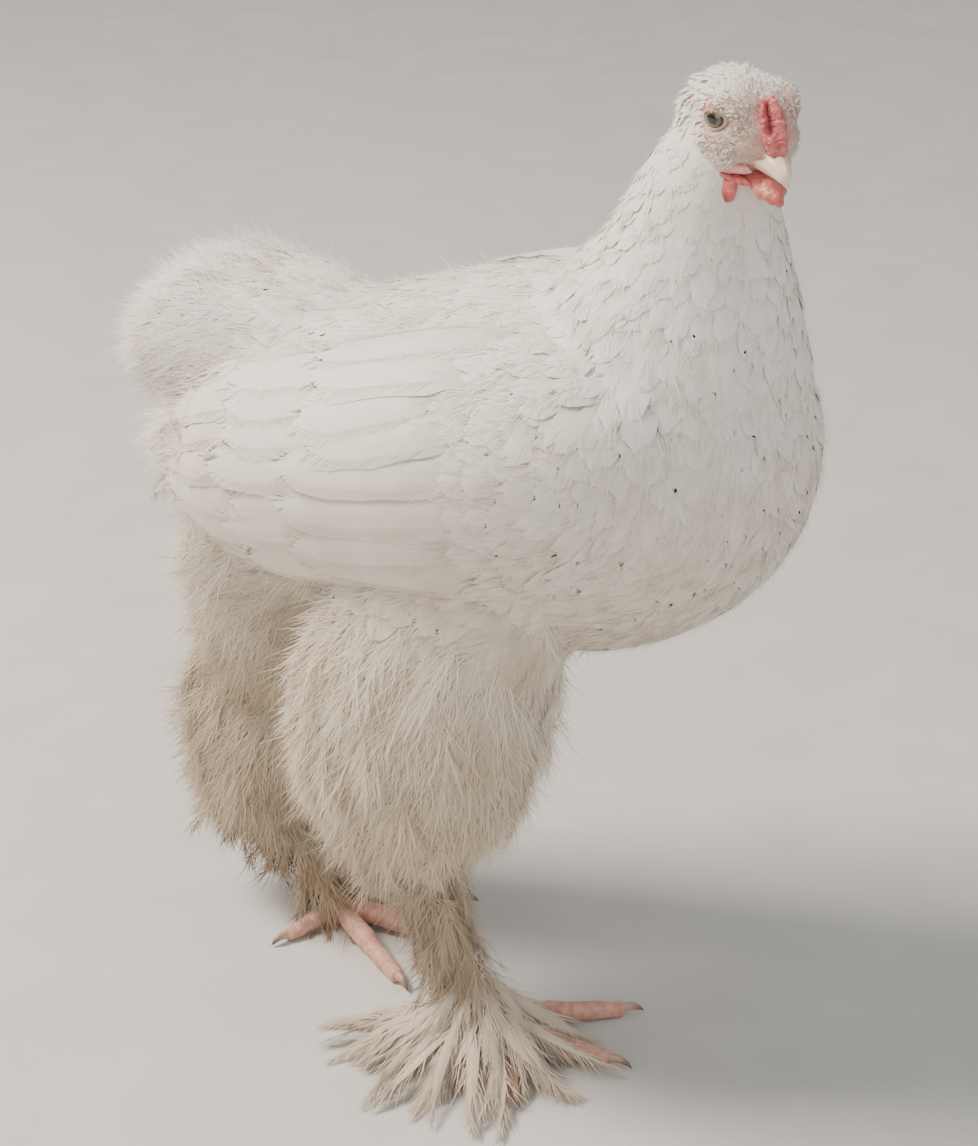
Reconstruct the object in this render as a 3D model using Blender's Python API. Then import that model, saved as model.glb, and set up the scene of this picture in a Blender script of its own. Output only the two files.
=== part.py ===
"""A young white Brahma hen, life size, walking: a still model in named sub-parts.

The bird faces -Y, its left side is +X, and its feet stand on z = 0. Places in the body are written
as (x, f, z) in millimetres, where f counts forwards from the hips, so that f = -y.
"""
import math
import random
from dataclasses import dataclass

import bpy
import bmesh
import numpy as np
from mathutils import Matrix, Vector

MM = 0.001
GAP = 0.3
SEED = 12
RIGHT, LEFT = -1.0, 1.0

TORSO_SIDES = 24
NECK_SIDES = 14
HEAD_SIDES = 18
LIMB_SIDES = 12
TOE_SIDES = 6

HEAD_CENTRE = (-10.0, 150.0, 522.0)
HEAD_YAW = 37.0
HEAD_PITCH = 6.0
EYE_PLACE = (15.8, 12.0, 11.0)
EYE_RADIUS = 7.0

FOOT_RIGHT = (-45.0, 30.0)
FOOT_LEFT = (17.0, -105.0)
SOLE = 0.0

VANE_THICKNESS = 1.0
LOCK_THICKNESS = 1.4
LID_STEPS = 9
COMB_KNOBS = 5
FLAT = math.radians(0.2)


def hermite(keys, values, at):
    """Smooth curve through the values at their keys, with slopes from the neighbours."""
    keys = np.asarray(keys, float)
    values = np.asarray(values, float)
    slopes = np.gradient(values, keys, axis=0)
    i = int(np.clip(np.searchsorted(keys, at) - 1, 0, len(keys) - 2))
    span = keys[i + 1] - keys[i]
    t = (at - keys[i]) / span
    return (
        (2 * t**3 - 3 * t**2 + 1) * values[i]
        + (t**3 - 2 * t**2 + t) * span * slopes[i]
        + (3 * t**2 - 2 * t**3) * values[i + 1]
        + (t**3 - t**2) * span * slopes[i + 1]
    )


def row(place):
    """A body place (x, f, z) in millimetres as a point of the model in metres."""
    return Vector((place[0] * MM, -place[1] * MM, place[2] * MM))


@dataclass
class Loft:
    """A rounded form carried along a spine. Each station is (key, x, f, z, side, front, back):
    the spine's place, and how far the surface lies to the sides, in front and behind it."""

    stations: list
    tips: tuple
    sides: int = LIMB_SIDES
    rings: int = 14
    side_axis: tuple = (1.0, 0.0, 0.0)
    grow: float = 0.0

    def __post_init__(self):
        table = np.array(self.stations, float)
        self.keys = table[:, 0]
        self.shape = table[:, 1:]

    def frame(self, key):
        """The spine's place, the side and front directions and the three reaches at a key."""
        values = hermite(self.keys, self.shape, key)
        step = 0.01 * (self.keys[-1] - self.keys[0])
        low = max(key - step, self.keys[0])
        high = min(key + step, self.keys[-1])
        ahead = hermite(self.keys, self.shape[:, :3], high) - hermite(self.keys, self.shape[:, :3], low)
        tangent = ahead / np.linalg.norm(ahead)
        side = np.array(self.side_axis, float)
        side = side - tangent * (side @ tangent)
        side /= np.linalg.norm(side)
        front = np.cross(side, tangent)
        return values[:3], side, front, values[3:]

    def at(self, key, angle, lift=0.0):
        """The surface's place at a key and an angle in degrees, 0 at the +side and 90 in front."""
        centre, side, front, reach = self.frame(key)
        c, s = math.cos(math.radians(angle)), math.sin(math.radians(angle))
        depth = reach[1] if s > 0 else reach[2]
        outward = side * c / max(reach[0], 1.0) + front * s / max(depth, 1.0)
        outward /= np.linalg.norm(outward)
        return centre + side * c * reach[0] + front * s * depth + outward * (lift + self.grow)

    def piece(self, name):
        """The closed form as a mesh object."""
        keys = np.linspace(self.keys[0], self.keys[-1], self.rings)
        angles = np.arange(self.sides) * 360.0 / self.sides
        rings = [[self.at(key, angle) for angle in angles] for key in keys]
        return closed_rings(name, rings, self.grown_tips())

    def grown_tips(self):
        """The two end points, moved outwards with the growth."""
        first, last = (np.array(tip, float) for tip in self.tips)
        along = last - first
        along /= np.linalg.norm(along)
        return first - along * self.grow, last + along * self.grow

    def grown(self, by=GAP):
        """The same form, thicker all round."""
        return Loft(self.stations, self.tips, self.sides, self.rings, self.side_axis, by)


def unit(vector):
    """The vector at length one."""
    vector = np.asarray(vector, float)
    return vector / np.linalg.norm(vector)


def strip(places, normals, widths, thick):
    """A flat closed strip along a line of places: square at its root, pointed at its tip. The
    last place is the tip, and each of the others has a normal and a width."""
    bm = bmesh.new()
    rings = []
    for i, (place, normal, width) in enumerate(zip(places, normals, widths)):
        along = unit(np.subtract(places[min(i + 1, len(places) - 1)], places[max(i - 1, 0)]))
        normal = unit(normal)
        across = unit(np.cross(along, normal))
        up = np.cross(across, along) * thick / 2
        across = across * width / 2
        place = np.asarray(place, float)
        corners = (place - across + up, place + across + up, place + across - up, place - across - up)
        rings.append([bm.verts.new(row(corner)) for corner in corners])
    tip = bm.verts.new(row(places[-1]))
    bm.faces.new(rings[0])
    for low, high in zip(rings, rings[1:]):
        for i in range(4):
            j = (i + 1) % 4
            bm.faces.new((low[i], low[j], high[j]))
            bm.faces.new((low[i], high[j], high[i]))
    for i in range(4):
        bm.faces.new((tip, rings[-1][i], rings[-1][(i + 1) % 4]))
    return mesh_object("strip", bm)


def vane(loft, start, end, lifts, width, tilt=0.0):
    """One feather lying over a form, from its sunk root to its round tip. The ends are (key,
    angle) on the form, and the lifts are the vane's height over it at the root, middle and tip."""
    places, normals, widths = [], [], []
    for t, wide in ((0.0, 0.7), (0.45, 1.0), (0.86, 0.86), (1.0, 0.0)):
        key = start[0] + (end[0] - start[0]) * t
        angle = start[1] + (end[1] - start[1]) * t
        lift = float(hermite([0.0, 0.45, 1.0], lifts, t))
        places.append(loft.at(key, angle, lift))
        outward = loft.at(key, angle, 1.0) - loft.at(key, angle)
        across = unit(loft.at(key, angle + 2.0) - loft.at(key, angle))
        normals.append(outward + across * tilt)
        widths.append(width * wide)
    return strip(places, normals[:3], widths[:3], VANE_THICKNESS)


def lock(loft, key, angle, length, width, lift=4.0, lean=0.0, fall=0.0):
    """One flat tapered lock of fluff, from its sunk root along the form to a free tip that lifts
    off it, leans to one side and falls a little."""
    root = loft.at(key, angle, -3.0)
    step = 0.02 * (loft.keys[-1] - loft.keys[0])
    along = unit(loft.at(key + step, angle) - loft.at(key - step, angle))
    outward = unit(loft.at(key, angle, 1.0) - loft.at(key, angle))
    across = np.cross(along, outward)
    places = []
    for t in (0.0, 0.35, 0.72, 1.0):
        rise = 3.0 + lift * t * t if t else 0.0
        side = lean * length * t * t
        drop = np.array((0.0, 0.0, -fall * length * t * t))
        places.append(root + along * length * t + outward * rise + across * side + drop)
    return strip(places, [outward] * 3, [width * 0.8, width, width * 0.6], LOCK_THICKNESS)


def mesh_object(name, bm):
    """A mesh object from a bmesh, with its faces turned outwards."""
    bmesh.ops.recalc_face_normals(bm, faces=bm.faces)
    mesh = bpy.data.meshes.new(name)
    bm.to_mesh(mesh)
    bm.free()
    obj = bpy.data.objects.new(name, mesh)
    bpy.context.scene.collection.objects.link(obj)
    return obj


def closed_rings(name, rings, tips):
    """Rings of places joined by faces, closed by a point at each end."""
    bm = bmesh.new()
    loops = [[bm.verts.new(row(place)) for place in ring] for ring in rings]
    first, last = (bm.verts.new(row(tip)) for tip in tips)
    count = len(loops[0])
    for low, high in zip(loops, loops[1:]):
        for i in range(count):
            j = (i + 1) % count
            bm.faces.new((low[i], low[j], high[j]))
            bm.faces.new((low[i], high[j], high[i]))
    for i in range(count):
        j = (i + 1) % count
        bm.faces.new((first, loops[0][j], loops[0][i]))
        bm.faces.new((last, loops[-1][i], loops[-1][j]))
    return mesh_object(name, bm)


def evaluated_mesh(obj):
    """The object's mesh with its modifiers applied."""
    graph = bpy.context.evaluated_depsgraph_get()
    return bpy.data.meshes.new_from_object(obj.evaluated_get(graph))


def boolean(obj, others, operation):
    """Joins the other closed meshes to the object, or takes them away, and removes them."""
    if not others:
        return
    group = bpy.data.collections.new("operands")
    bpy.context.scene.collection.children.link(group)
    for other in others:
        bpy.context.scene.collection.objects.unlink(other)
        group.objects.link(other)
    modifier = obj.modifiers.new("shape", "BOOLEAN")
    modifier.operation = operation
    modifier.operand_type = "COLLECTION"
    modifier.collection = group
    modifier.solver = "EXACT"
    bpy.context.view_layer.update()
    mesh = evaluated_mesh(obj)
    obj.modifiers.clear()
    obj.data = mesh
    for other in others:
        bpy.data.objects.remove(other)
    bpy.data.collections.remove(group)


def keep_largest(obj):
    """Drops every closed surface but the one with the most faces."""
    bm = bmesh.new()
    bm.from_mesh(obj.data)
    bmesh.ops.remove_doubles(bm, verts=bm.verts, dist=0.002 * MM)
    unseen = set(bm.faces)
    groups = []
    while unseen:
        stack = [unseen.pop()]
        group = set(stack)
        while stack:
            for edge in stack.pop().edges:
                if len(edge.link_faces) != 2:
                    continue
                for face in edge.link_faces:
                    if face in unseen:
                        unseen.remove(face)
                        group.add(face)
                        stack.append(face)
        groups.append(group)
    groups.sort(key=len, reverse=True)
    spare = [face for group in groups[1:] for face in group]
    bmesh.ops.delete(bm, geom=spare, context="FACES")
    bmesh.ops.delete(bm, geom=[edge for edge in bm.edges if not edge.link_faces], context="EDGES")
    bmesh.ops.delete(bm, geom=[vert for vert in bm.verts if not vert.link_faces], context="VERTS")
    bmesh.ops.dissolve_limit(bm, angle_limit=FLAT, verts=bm.verts, edges=bm.edges)
    bmesh.ops.triangulate(bm, faces=bm.faces)
    bm.to_mesh(obj.data)
    bm.free()


def node(name, pieces, cutters, finish):
    """One sub-part: its pieces joined, its neighbours cut away, and its material set."""
    obj = pieces[0]
    boolean(obj, pieces[1:], "UNION")
    boolean(obj, cutters, "DIFFERENCE")
    if len(pieces) > 1 or cutters:
        keep_largest(obj)
    obj.name = name
    obj.data.name = name
    obj.data.materials.clear()
    obj.data.materials.append(finish)
    obj.data.shade_smooth()
    obj.data.set_sharp_from_angle(angle=math.radians(40))
    return obj


def material(name, colour, roughness):
    """A Principled BSDF finish."""
    made = bpy.data.materials.new(name)
    made.use_nodes = True
    shader = made.node_tree.nodes["Principled BSDF"]
    shader.inputs["Base Color"].default_value = (*colour, 1.0)
    shader.inputs["Roughness"].default_value = roughness
    shader.inputs["Metallic"].default_value = 0.0
    return made


def ball(name, place, radii, segments=12, rings=8, turn=None):
    """An ellipsoid at a body place, turned by a matrix."""
    bm = bmesh.new()
    bmesh.ops.create_uvsphere(bm, u_segments=segments, v_segments=rings, radius=1.0)
    scale = Matrix.Diagonal((radii[0] * MM, radii[1] * MM, radii[2] * MM, 1.0))
    spin = turn.to_4x4() if turn else Matrix.Identity(4)
    bmesh.ops.transform(bm, matrix=Matrix.Translation(row(place)) @ spin @ scale, verts=bm.verts)
    return mesh_object(name, bm)


def slab(name, low, high):
    """A plain block between two body places, used as a cutter."""
    bm = bmesh.new()
    bmesh.ops.create_cube(bm, size=1.0)
    a, b = row(low), row(high)
    size = [abs(b[i] - a[i]) for i in range(3)]
    place = Matrix.Translation((a + b) / 2) @ Matrix.Diagonal((*size, 1.0))
    bmesh.ops.transform(bm, matrix=place, verts=bm.verts)
    return mesh_object(name, bm)


TORSO = Loft(
    [
        (-178, 0, -178, 304, 20, 20, 26),
        (-166, 0, -166, 306, 42, 40, 48),
        (-138, 0, -138, 312, 66, 60, 76),
        (-95, 0, -95, 323, 86, 72, 96),
        (-50, 0, -50, 333, 99, 72, 100),
        (0, 0, 0, 341, 107, 80, 104),
        (50, 0, 50, 349, 110, 88, 116),
        (95, 0, 95, 357, 104, 86, 112),
        (130, 0, 130, 366, 90, 76, 95),
        (158, 0, 158, 376, 68, 58, 68),
        (176, 0, 176, 383, 37, 32, 38),
    ],
    ((0, -184, 303), (0, 184, 385)),
    TORSO_SIDES,
    15,
)

NECK = Loft(
    [
        (0, -9, 146, 524, 25, 20, 25),
        (22, -7, 140, 502, 31, 28, 35),
        (46, -4, 132, 478, 38, 41, 41),
        (74, -1, 122, 450, 49, 60, 47),
        (104, 0, 112, 420, 68, 74, 62),
        (140, 0, 104, 384, 82, 80, 74),
    ],
    ((-9, 147, 532), (0, 100, 370)),
    NECK_SIDES,
    8,
)

ABDOMEN = Loft(
    [
        (0, 0, -120, 285, 62, 66, 46),
        (40, 2, -122, 245, 58, 58, 52),
        (80, 6, -122, 205, 50, 46, 54),
        (112, 12, -122, 172, 36, 30, 42),
    ],
    ((0, -112, 300), (14, -122, 150)),
    LIMB_SIDES,
    8,
)


def thigh_stations(side):
    """The drumstick and its fluff, from the flank down to the hock."""
    if side == RIGHT:
        return Loft(
            [
                (0, -60, 36, 300, 46, 60, 70),
                (45, -70, 28, 256, 44, 66, 76),
                (85, -74, 20, 216, 42, 65, 80),
                (125, -71, 10, 177, 39, 60, 82),
                (155, -65, 4, 147, 34, 47, 74),
                (180, -59, 2, 120, 26, 28, 52),
            ],
            ((-58, 38, 312), (-57, 2, 105)),
            rings=11,
        )
    return Loft(
        [
            (0, 60, 0, 300, 46, 58, 60),
            (50, 64, -32, 256, 45, 56, 62),
            (103, 54, -70, 212, 44, 54, 68),
            (154, 38, -104, 170, 43, 46, 79),
            (198, 24, -130, 132, 41, 38, 74),
            (234, 16, -140, 97, 34, 30, 62),
            (264, 11, -148, 68, 22, 20, 46),
        ],
        ((58, 8, 312), (8, -158, 52)),
        rings=13,
    )


THIGH = {RIGHT: thigh_stations(RIGHT), LEFT: thigh_stations(LEFT)}


def shank_stations(side):
    """The feathered lower leg, from inside the thigh's fluff down to the foot."""
    hock, foot = ((-57, 3, 112), FOOT_RIGHT) if side == RIGHT else ((13, -142, 82), FOOT_LEFT)
    low = (foot[0], foot[1] - 3, 20)
    reaches = [(13, 14, 16), (13, 14, 16), (12, 13, 15), (11, 12, 13), (11, 12, 12)]
    stations = []
    for i, reach in enumerate(reaches):
        t = i / (len(reaches) - 1)
        place = [hock[k] + (low[k] - hock[k]) * t for k in range(3)]
        stations.append((t * 100, *place, *reach))
    top = tuple(hock[k] - (low[k] - hock[k]) * 0.06 for k in range(3))
    end = tuple(low[k] + (low[k] - hock[k]) * 0.08 for k in range(3))
    return Loft(stations, (top, end), 12, 6)


SHANK = {RIGHT: shank_stations(RIGHT), LEFT: shank_stations(LEFT)}


def head_axes():
    """The head's own side, ahead and up directions as body directions (x, f, z)."""
    yaw, pitch = math.radians(HEAD_YAW), math.radians(HEAD_PITCH)
    side = np.array((math.cos(yaw), math.sin(yaw), 0.0))
    level = np.array((-math.sin(yaw), math.cos(yaw), 0.0))
    ahead = level * math.cos(pitch) - np.array((0.0, 0.0, math.sin(pitch)))
    up = level * math.sin(pitch) + np.array((0.0, 0.0, math.cos(pitch)))
    return side, ahead, up


def on_head(side, ahead, up):
    """A place given in the head's own directions, from the head's centre, as a body place."""
    s, a, u = head_axes()
    return tuple(np.array(HEAD_CENTRE) + s * side + a * ahead + u * up)


def head_loft(stations, tips, sides, rings, grow=0.0):
    """A loft along the head's ahead direction. Stations are (ahead, up, half width, above, below)."""
    table = []
    for ahead, up, half, above, below in stations:
        table.append((ahead, *on_head(0, ahead, up), half, above, below))
    ends = tuple(on_head(0, ahead, up) for ahead, up in tips)
    return Loft(table, ends, sides, rings, tuple(head_axes()[0]), grow)


HEAD = head_loft(
    [
        (-28, 0, 10, 11, 12),
        (-23, 0, 16, 17, 19),
        (-12, 0, 21, 23, 24),
        (0, 0, 23, 25.5, 24),
        (12, 0, 23, 26, 21),
        (20, 0, 20, 24, 18),
        (26, -1, 15, 18, 14),
        (30, -3, 9, 11, 9),
    ],
    ((-31, -1), (32, -4)),
    HEAD_SIDES,
    10,
)

BEAK_UPPER = head_loft(
    [(20, -5, 9.5, 8, 5.5), (30, -4, 8, 7, 5.5), (39, -4.5, 5.6, 5.4, 5), (45, -6.5, 3.4, 3.6, 3.6)],
    ((16, -5), (49.5, -10)),
    9,
    6,
)

BEAK_LOWER = head_loft(
    [(16, -14, 9, 3, 5), (28, -15.5, 7, 3, 6), (37, -17, 5, 3, 6), (42.5, -18.5, 3, 2.6, 4)],
    ((12, -13), (46, -19.5)),
    8,
    5,
)


def comb_loft():
    """The comb's body, down the middle of the forehead onto the beak."""
    table = []
    for key, ahead, up, half, front, back in (
        (0, 16, 27.5, 2.6, 2.2, 4),
        (8, 22, 24.5, 4, 3.4, 5),
        (17, 26, 16, 5.8, 4, 5),
        (27, 29, 6, 7, 4.2, 5),
        (34, 32, -0.5, 5.6, 3.6, 4),
    ):
        table.append((key, *on_head(0, ahead, up), half, front, back))
    ends = (on_head(0, 11, 27.5), on_head(0, 35, -4))
    return Loft(table, ends, 9, 6, tuple(head_axes()[0]))


COMB = comb_loft()

CUSHION = Loft(
    [
        (0, 0, -70, 356, 58, 44, 44),
        (40, 0, -104, 368, 62, 52, 44),
        (75, 0, -138, 366, 60, 52, 48),
        (105, 0, -166, 357, 51, 45, 42),
        (128, 0, -187, 348, 36, 32, 29),
        (142, 0, -201, 342, 18, 17, 15),
    ],
    ((0, -54, 350), (0, -209, 339)),
    22,
    12,
)

TAIL_LINE = [
    (0, 0, -122, 332, 34, 18, 20),
    (30, 0, -144, 312, 36, 15, 16),
    (60, 0, -167, 289, 30, 10, 11),
    (100, 0, -194, 259, 24, 6, 6),
]
TAIL_SPREAD = Loft(TAIL_LINE, ((0, -108, 344), (0, -202, 252)), 12, 8)
TAIL = Loft(TAIL_LINE[:3], ((0, -108, 344), (0, -175, 280)), 12, 6)

WING_OUTLINE = [
    (146, 150, 174, 3),
    (134, 143, 188, 8),
    (106, 134, 200, 12),
    (60, 128, 205, 14),
    (0, 126, 206, 15),
    (-50, 128, 206, 15),
    (-90, 136, 207, 14),
    (-116, 148, 208, 12),
    (-128, 168, 206, 8),
]


WING_TIERS = [
    (-8, -137, [(139, 158), (151, 168), (163, 178), (175, 188), (187, 197), (197, 204)], 21, 1.2),
    (46, -46, [(132, 137), (148, 153), (164, 169), (180, 184), (195, 199)], 28, 2.0),
    (94, 20, [(134, 134), (151, 152), (168, 169), (185, 186)], 30, 2.0),
]


def wing_shell(side, rings=13, across=8):
    """The folded wing's body: a shell over the flank, thickest along its middle."""
    table = np.array(WING_OUTLINE, float)
    keys = -table[:, 0]
    outer, inner = [], []
    for u in np.linspace(keys[0], keys[-1], rings):
        top, bottom, lift = hermite(keys, table[:, 1:], u)
        up, down = [], []
        for v in np.linspace(0.0, 1.0, across):
            angle = top + (bottom - top) * v
            if side == LEFT:
                angle = 180 - angle
            bulge = math.sin(math.pi * min(v * 0.86 + 0.05, 1.0)) ** 0.6
            up.append(TORSO.at(-u, angle, max(lift * bulge, 1.5)))
            down.append(TORSO.at(-u, angle, -4.0))
        outer.append(up)
        inner.append(down)
    return shell("wing", outer, inner)


def wing_lift(key, angle):
    """The height of the folded wing's shell over the torso."""
    table = np.array(WING_OUTLINE, float)
    top, bottom, lift = hermite(-table[:, 0], table[:, 1:], -key)
    share = (angle - top) / (bottom - top)
    return max(lift * math.sin(math.pi * min(max(share * 0.86 + 0.05, 0.0), 1.0)) ** 0.6, 1.5)


def wing_vanes(side, draw):
    """The wing's feathers in tiers: the long quills at the back, then the rows that cover them."""
    pieces = []
    for start, end, angles, width, rise in WING_TIERS:
        for low_angle, high_angle in angles:
            key = start + draw.uniform(-3, 3)
            tip = end + draw.uniform(-3, 3)
            lifts = []
            for t, lift in ((0.0, -3.0), (0.45, rise), (1.0, rise + 0.8)):
                place = key + (tip - key) * t
                angle = low_angle + (high_angle - low_angle) * t
                lifts.append(wing_lift(place, angle) + lift)
            low, high = low_angle, high_angle
            if side == LEFT:
                low, high = 180 - low, 180 - high
            pieces.append(vane(TORSO, (key, low), (tip, high), lifts, width, 0.10 * side))
    return pieces


def shell(name, outer, inner):
    """Two grids of places, joined along their borders into a closed sheet."""
    bm = bmesh.new()
    top = [[bm.verts.new(row(place)) for place in line] for line in outer]
    low = [[bm.verts.new(row(place)) for place in line] for line in inner]
    rows, cols = len(top), len(top[0])
    for i in range(rows - 1):
        for j in range(cols - 1):
            for grid in (top, low):
                bm.faces.new((grid[i][j], grid[i + 1][j], grid[i + 1][j + 1]))
                bm.faces.new((grid[i][j], grid[i + 1][j + 1], grid[i][j + 1]))
    border = [(0, j) for j in range(cols)] + [(i, cols - 1) for i in range(1, rows)]
    border += [(rows - 1, j) for j in range(cols - 2, -1, -1)] + [(i, 0) for i in range(rows - 2, 0, -1)]
    for (i, j), (k, m) in zip(border, border[1:] + border[:1]):
        bm.faces.new((top[i][j], top[k][m], low[k][m]))
        bm.faces.new((top[i][j], low[k][m], low[i][j]))
    return mesh_object(name, bm)


TOES = {
    RIGHT: {
        "inner": ((-12, 60, 12), (13, 87, 6)),
        "middle": ((-40, 70, 13), (-34, 103, 6)),
        "outer": ((-67, 55, 12), (-86, 74, 6)),
        "rear": ((-48, 6, 10), (-53, -14, 6)),
    },
    LEFT: {
        "inner": ((-2, -70, 11), (-21, -38, 6)),
        "middle": ((24, -64, 12), (29, -26, 6)),
        "outer": ((44, -76, 11), (68, -50, 6)),
        "rear": ((1, -110, 9), (-15, -116, 6)),
    },
}
TOE_RADIUS = {"inner": 6.4, "middle": 7.0, "outer": 6.2, "rear": 5.6}
CLAW_LENGTH = {"inner": 13, "middle": 14, "outer": 12, "rear": 12}


def toe_loft(side, toe):
    """One toe, from the ball of the foot out to the claw, a little flat on the ground."""
    ball_place = FOOT_RIGHT if side == RIGHT else FOOT_LEFT
    joint, tip = TOES[side][toe]
    radius = TOE_RADIUS[toe]
    start = (ball_place[0], ball_place[1], 12.0)
    places = [start, joint, tip]
    stations = []
    for t in (0.0, 0.35, 0.7, 1.0):
        place = hermite([0.0, 0.55, 1.0], places, t)
        thick = radius * (1.1 - 0.36 * t)
        place[2] = max(place[2] * (1 - t) + (thick - 0.6) * t, thick - 0.6)
        stations.append((t, *place, thick, thick, thick))
    ahead = np.array(stations[-1][1:4]) - np.array(stations[-2][1:4])
    ahead /= np.linalg.norm(ahead)
    across = np.cross(ahead, (0.0, 0.0, 1.0))
    across /= np.linalg.norm(across)
    first = np.array(start) - ahead * 4.0
    last = np.array(stations[-1][1:4]) + ahead * 3.0
    return Loft(stations, (tuple(first), tuple(last)), TOE_SIDES, 5, tuple(across)), ahead


def claw_loft(side, toe):
    """A claw, curving down from the end of its toe."""
    loft, ahead = toe_loft(side, toe)
    length = CLAW_LENGTH[toe]
    end = np.array(loft.tips[1]) - ahead * 3.0
    ahead = np.array((ahead[0], ahead[1], 0.0))
    ahead /= np.linalg.norm(ahead)
    stations = []
    for t, thick, drop in ((0.0, 2.8, -1.2), (0.5, 2.2, -1.2), (0.85, 1.1, 0.8)):
        place = end + ahead * length * t - np.array((0.0, 0.0, drop))
        stations.append((t, *place, thick * 0.85, thick, thick))
    across = np.cross(ahead, (0.0, 0.0, 1.0))
    first = end - ahead * 2.0 + np.array((0.0, 0.0, 1.0))
    last = end + ahead * length - np.array((0.0, 0.0, end[2] - 1.4))
    return Loft(stations, (tuple(first), tuple(last)), 6, 4, tuple(across))


FOOT_FAN = {
    RIGHT: ((-78, 96, 84, 8), (-50, 56, 58, 4)),
    LEFT: ((-56, 62, 62, 6), (-26, 30, 44, 2)),
}


def foot_feathers(side, draw):
    """The feathers that fan out over the foot in two tiers, the lower one longer and flatter."""
    centre = FOOT_RIGHT if side == RIGHT else FOOT_LEFT
    pieces = []
    for tier, (low, high, reach, count) in enumerate(FOOT_FAN[side]):
        for bearing in np.linspace(low, high, count):
            turn = math.radians(bearing + draw.uniform(-3, 3))
            out = np.array((side * math.cos(turn), math.sin(turn), 0.0))
            across = np.array((-out[1], out[0], 0.0))
            long = reach * draw.uniform(0.86, 1.08)
            bend = draw.uniform(-0.10, 0.10) * long
            top = 24 + 12 * tier
            low_tip = draw.uniform(2.0, 6.0) + 5 * tier
            places = []
            for t, z in ((0.1, top), (0.4, top + 1), (0.75, 0.45 * top + 2), (1.0, low_tip)):
                place = np.array((centre[0], centre[1], z)) + out * long * t + across * bend * t * t
                places.append(place)
            wide = draw.uniform(17, 22) if side == RIGHT else draw.uniform(14, 18)
            rise = [np.array((0.0, 0.0, 1.0)) + out * 0.35] * 3
            pieces.append(strip(places, rise, [wide * 0.7, wide, wide * 0.7], LOCK_THICKNESS))
    return pieces


def lock_rows(loft, rows, draw):
    """Rows of locks round a form. Each row is (key, first angle, last angle, count, length,
    width, lift, fall)."""
    pieces = []
    for key, low, high, count, length, width, lift, fall in rows:
        step = (high - low) / max(count - 1, 1)
        for i in range(count):
            angle = low + step * (i + draw.uniform(-0.25, 0.25))
            long = length * draw.uniform(0.8, 1.15)
            wide = width * draw.uniform(0.85, 1.15)
            lean = draw.uniform(-0.22, 0.22)
            place = key + draw.uniform(-3, 3)
            pieces.append(lock(loft, place, angle, long, wide, lift * draw.uniform(0.6, 1.3), lean, fall))
    return pieces


THIGH_ROWS = {
    RIGHT: [
        (112, 150, 262, 3, 48, 24, 6, 0.0),
        (148, 75, 295, 6, 42, 22, 7, 0.1),
        (172, 0, 300, 6, 34, 19, 4, 0.1),
    ],
    LEFT: [
        (140, -56, 20, 3, 48, 24, 6, 0.0),
        (196, -120, 50, 5, 44, 23, 7, 0.1),
        (240, -140, 130, 6, 36, 19, 5, 0.1),
    ],
}
ABDOMEN_ROWS = [(46, 250, 290, 2, 42, 22, 6, 0.0), (76, 248, 292, 3, 42, 19, 7, 0.1)]
CUSHION_ROWS = [
    (66, 215, 325, 3, 50, 28, 6, 0.0),
    (98, 185, 355, 5, 42, 24, 7, 0.0),
    (124, 170, 370, 5, 26, 20, 6, 0.0),
]
SHANK_ROWS = {
    RIGHT: [(6, 125, 245, 3, 36, 19, 8, 0.0), (36, 115, 245, 3, 30, 18, 9, 0.0)],
    LEFT: [(44, -70, 60, 3, 17, 13, 6, 0.0)],
}
TAIL_FEATHERS = [(-147, 27, 0.4), (-117, 29, 2.1), (-89, 28, 4.2), (-61, 29, 2.4), (-33, 26, 0.7)]


def tail_feathers(draw):
    """The stiff feathers of the tail, overlapping out from the middle."""
    pieces = []
    for i, (angle, width, rise) in enumerate(TAIL_FEATHERS):
        tip = 90 + draw.uniform(-5, 5)
        spread = -90 + (angle + 90) * 0.9 + draw.uniform(-2, 2)
        lifts = (-4.0, rise, rise + 0.6)
        pieces.append(vane(TAIL_SPREAD, (14 + i, angle), (tip, spread), lifts, width, 0.04 * (i - 2)))
    return pieces


def eye_ball(side, grow=0.0):
    """An eyeball in its socket, seen between the lids."""
    across, ahead, up = EYE_PLACE
    radius = EYE_RADIUS + grow
    return ball("eye", on_head(side * across, ahead, up), (radius, radius, radius), 11, 7)


def wattle(side, grow=0.0):
    """One wattle: a small bulb of skin hanging from the lower jaw."""
    table = []
    for drop, half, front, back in ((-14, 2.6, 6, 6), (-22, 3.4, 8, 7), (-30, 3.4, 7.5, 6), (-35, 2.2, 4, 4)):
        table.append((-drop, *on_head(side * 12.5, 15, drop), half, front, back))
    ends = (on_head(side * 11.5, 15, -10), on_head(side * 12.5, 15, -37.5))
    return Loft(table, ends, 8, 5, tuple(head_axes()[0]), grow)


def earlobe(side, grow=0.0):
    """One ear lobe: a small flat oval of red skin behind the jaw."""
    table = []
    for drop, half, front, back in ((-5, 2.2, 3, 3), (-11, 2.8, 4.5, 4.5), (-17, 2.0, 3, 3)):
        table.append((-drop, *on_head(side * 21.6, -5, drop), half, front, back))
    ends = (on_head(side * 21.6, -5, -2), on_head(side * 20.8, -5, -20))
    return Loft(table, ends, 7, 4, tuple(head_axes()[0]), grow)


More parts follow.
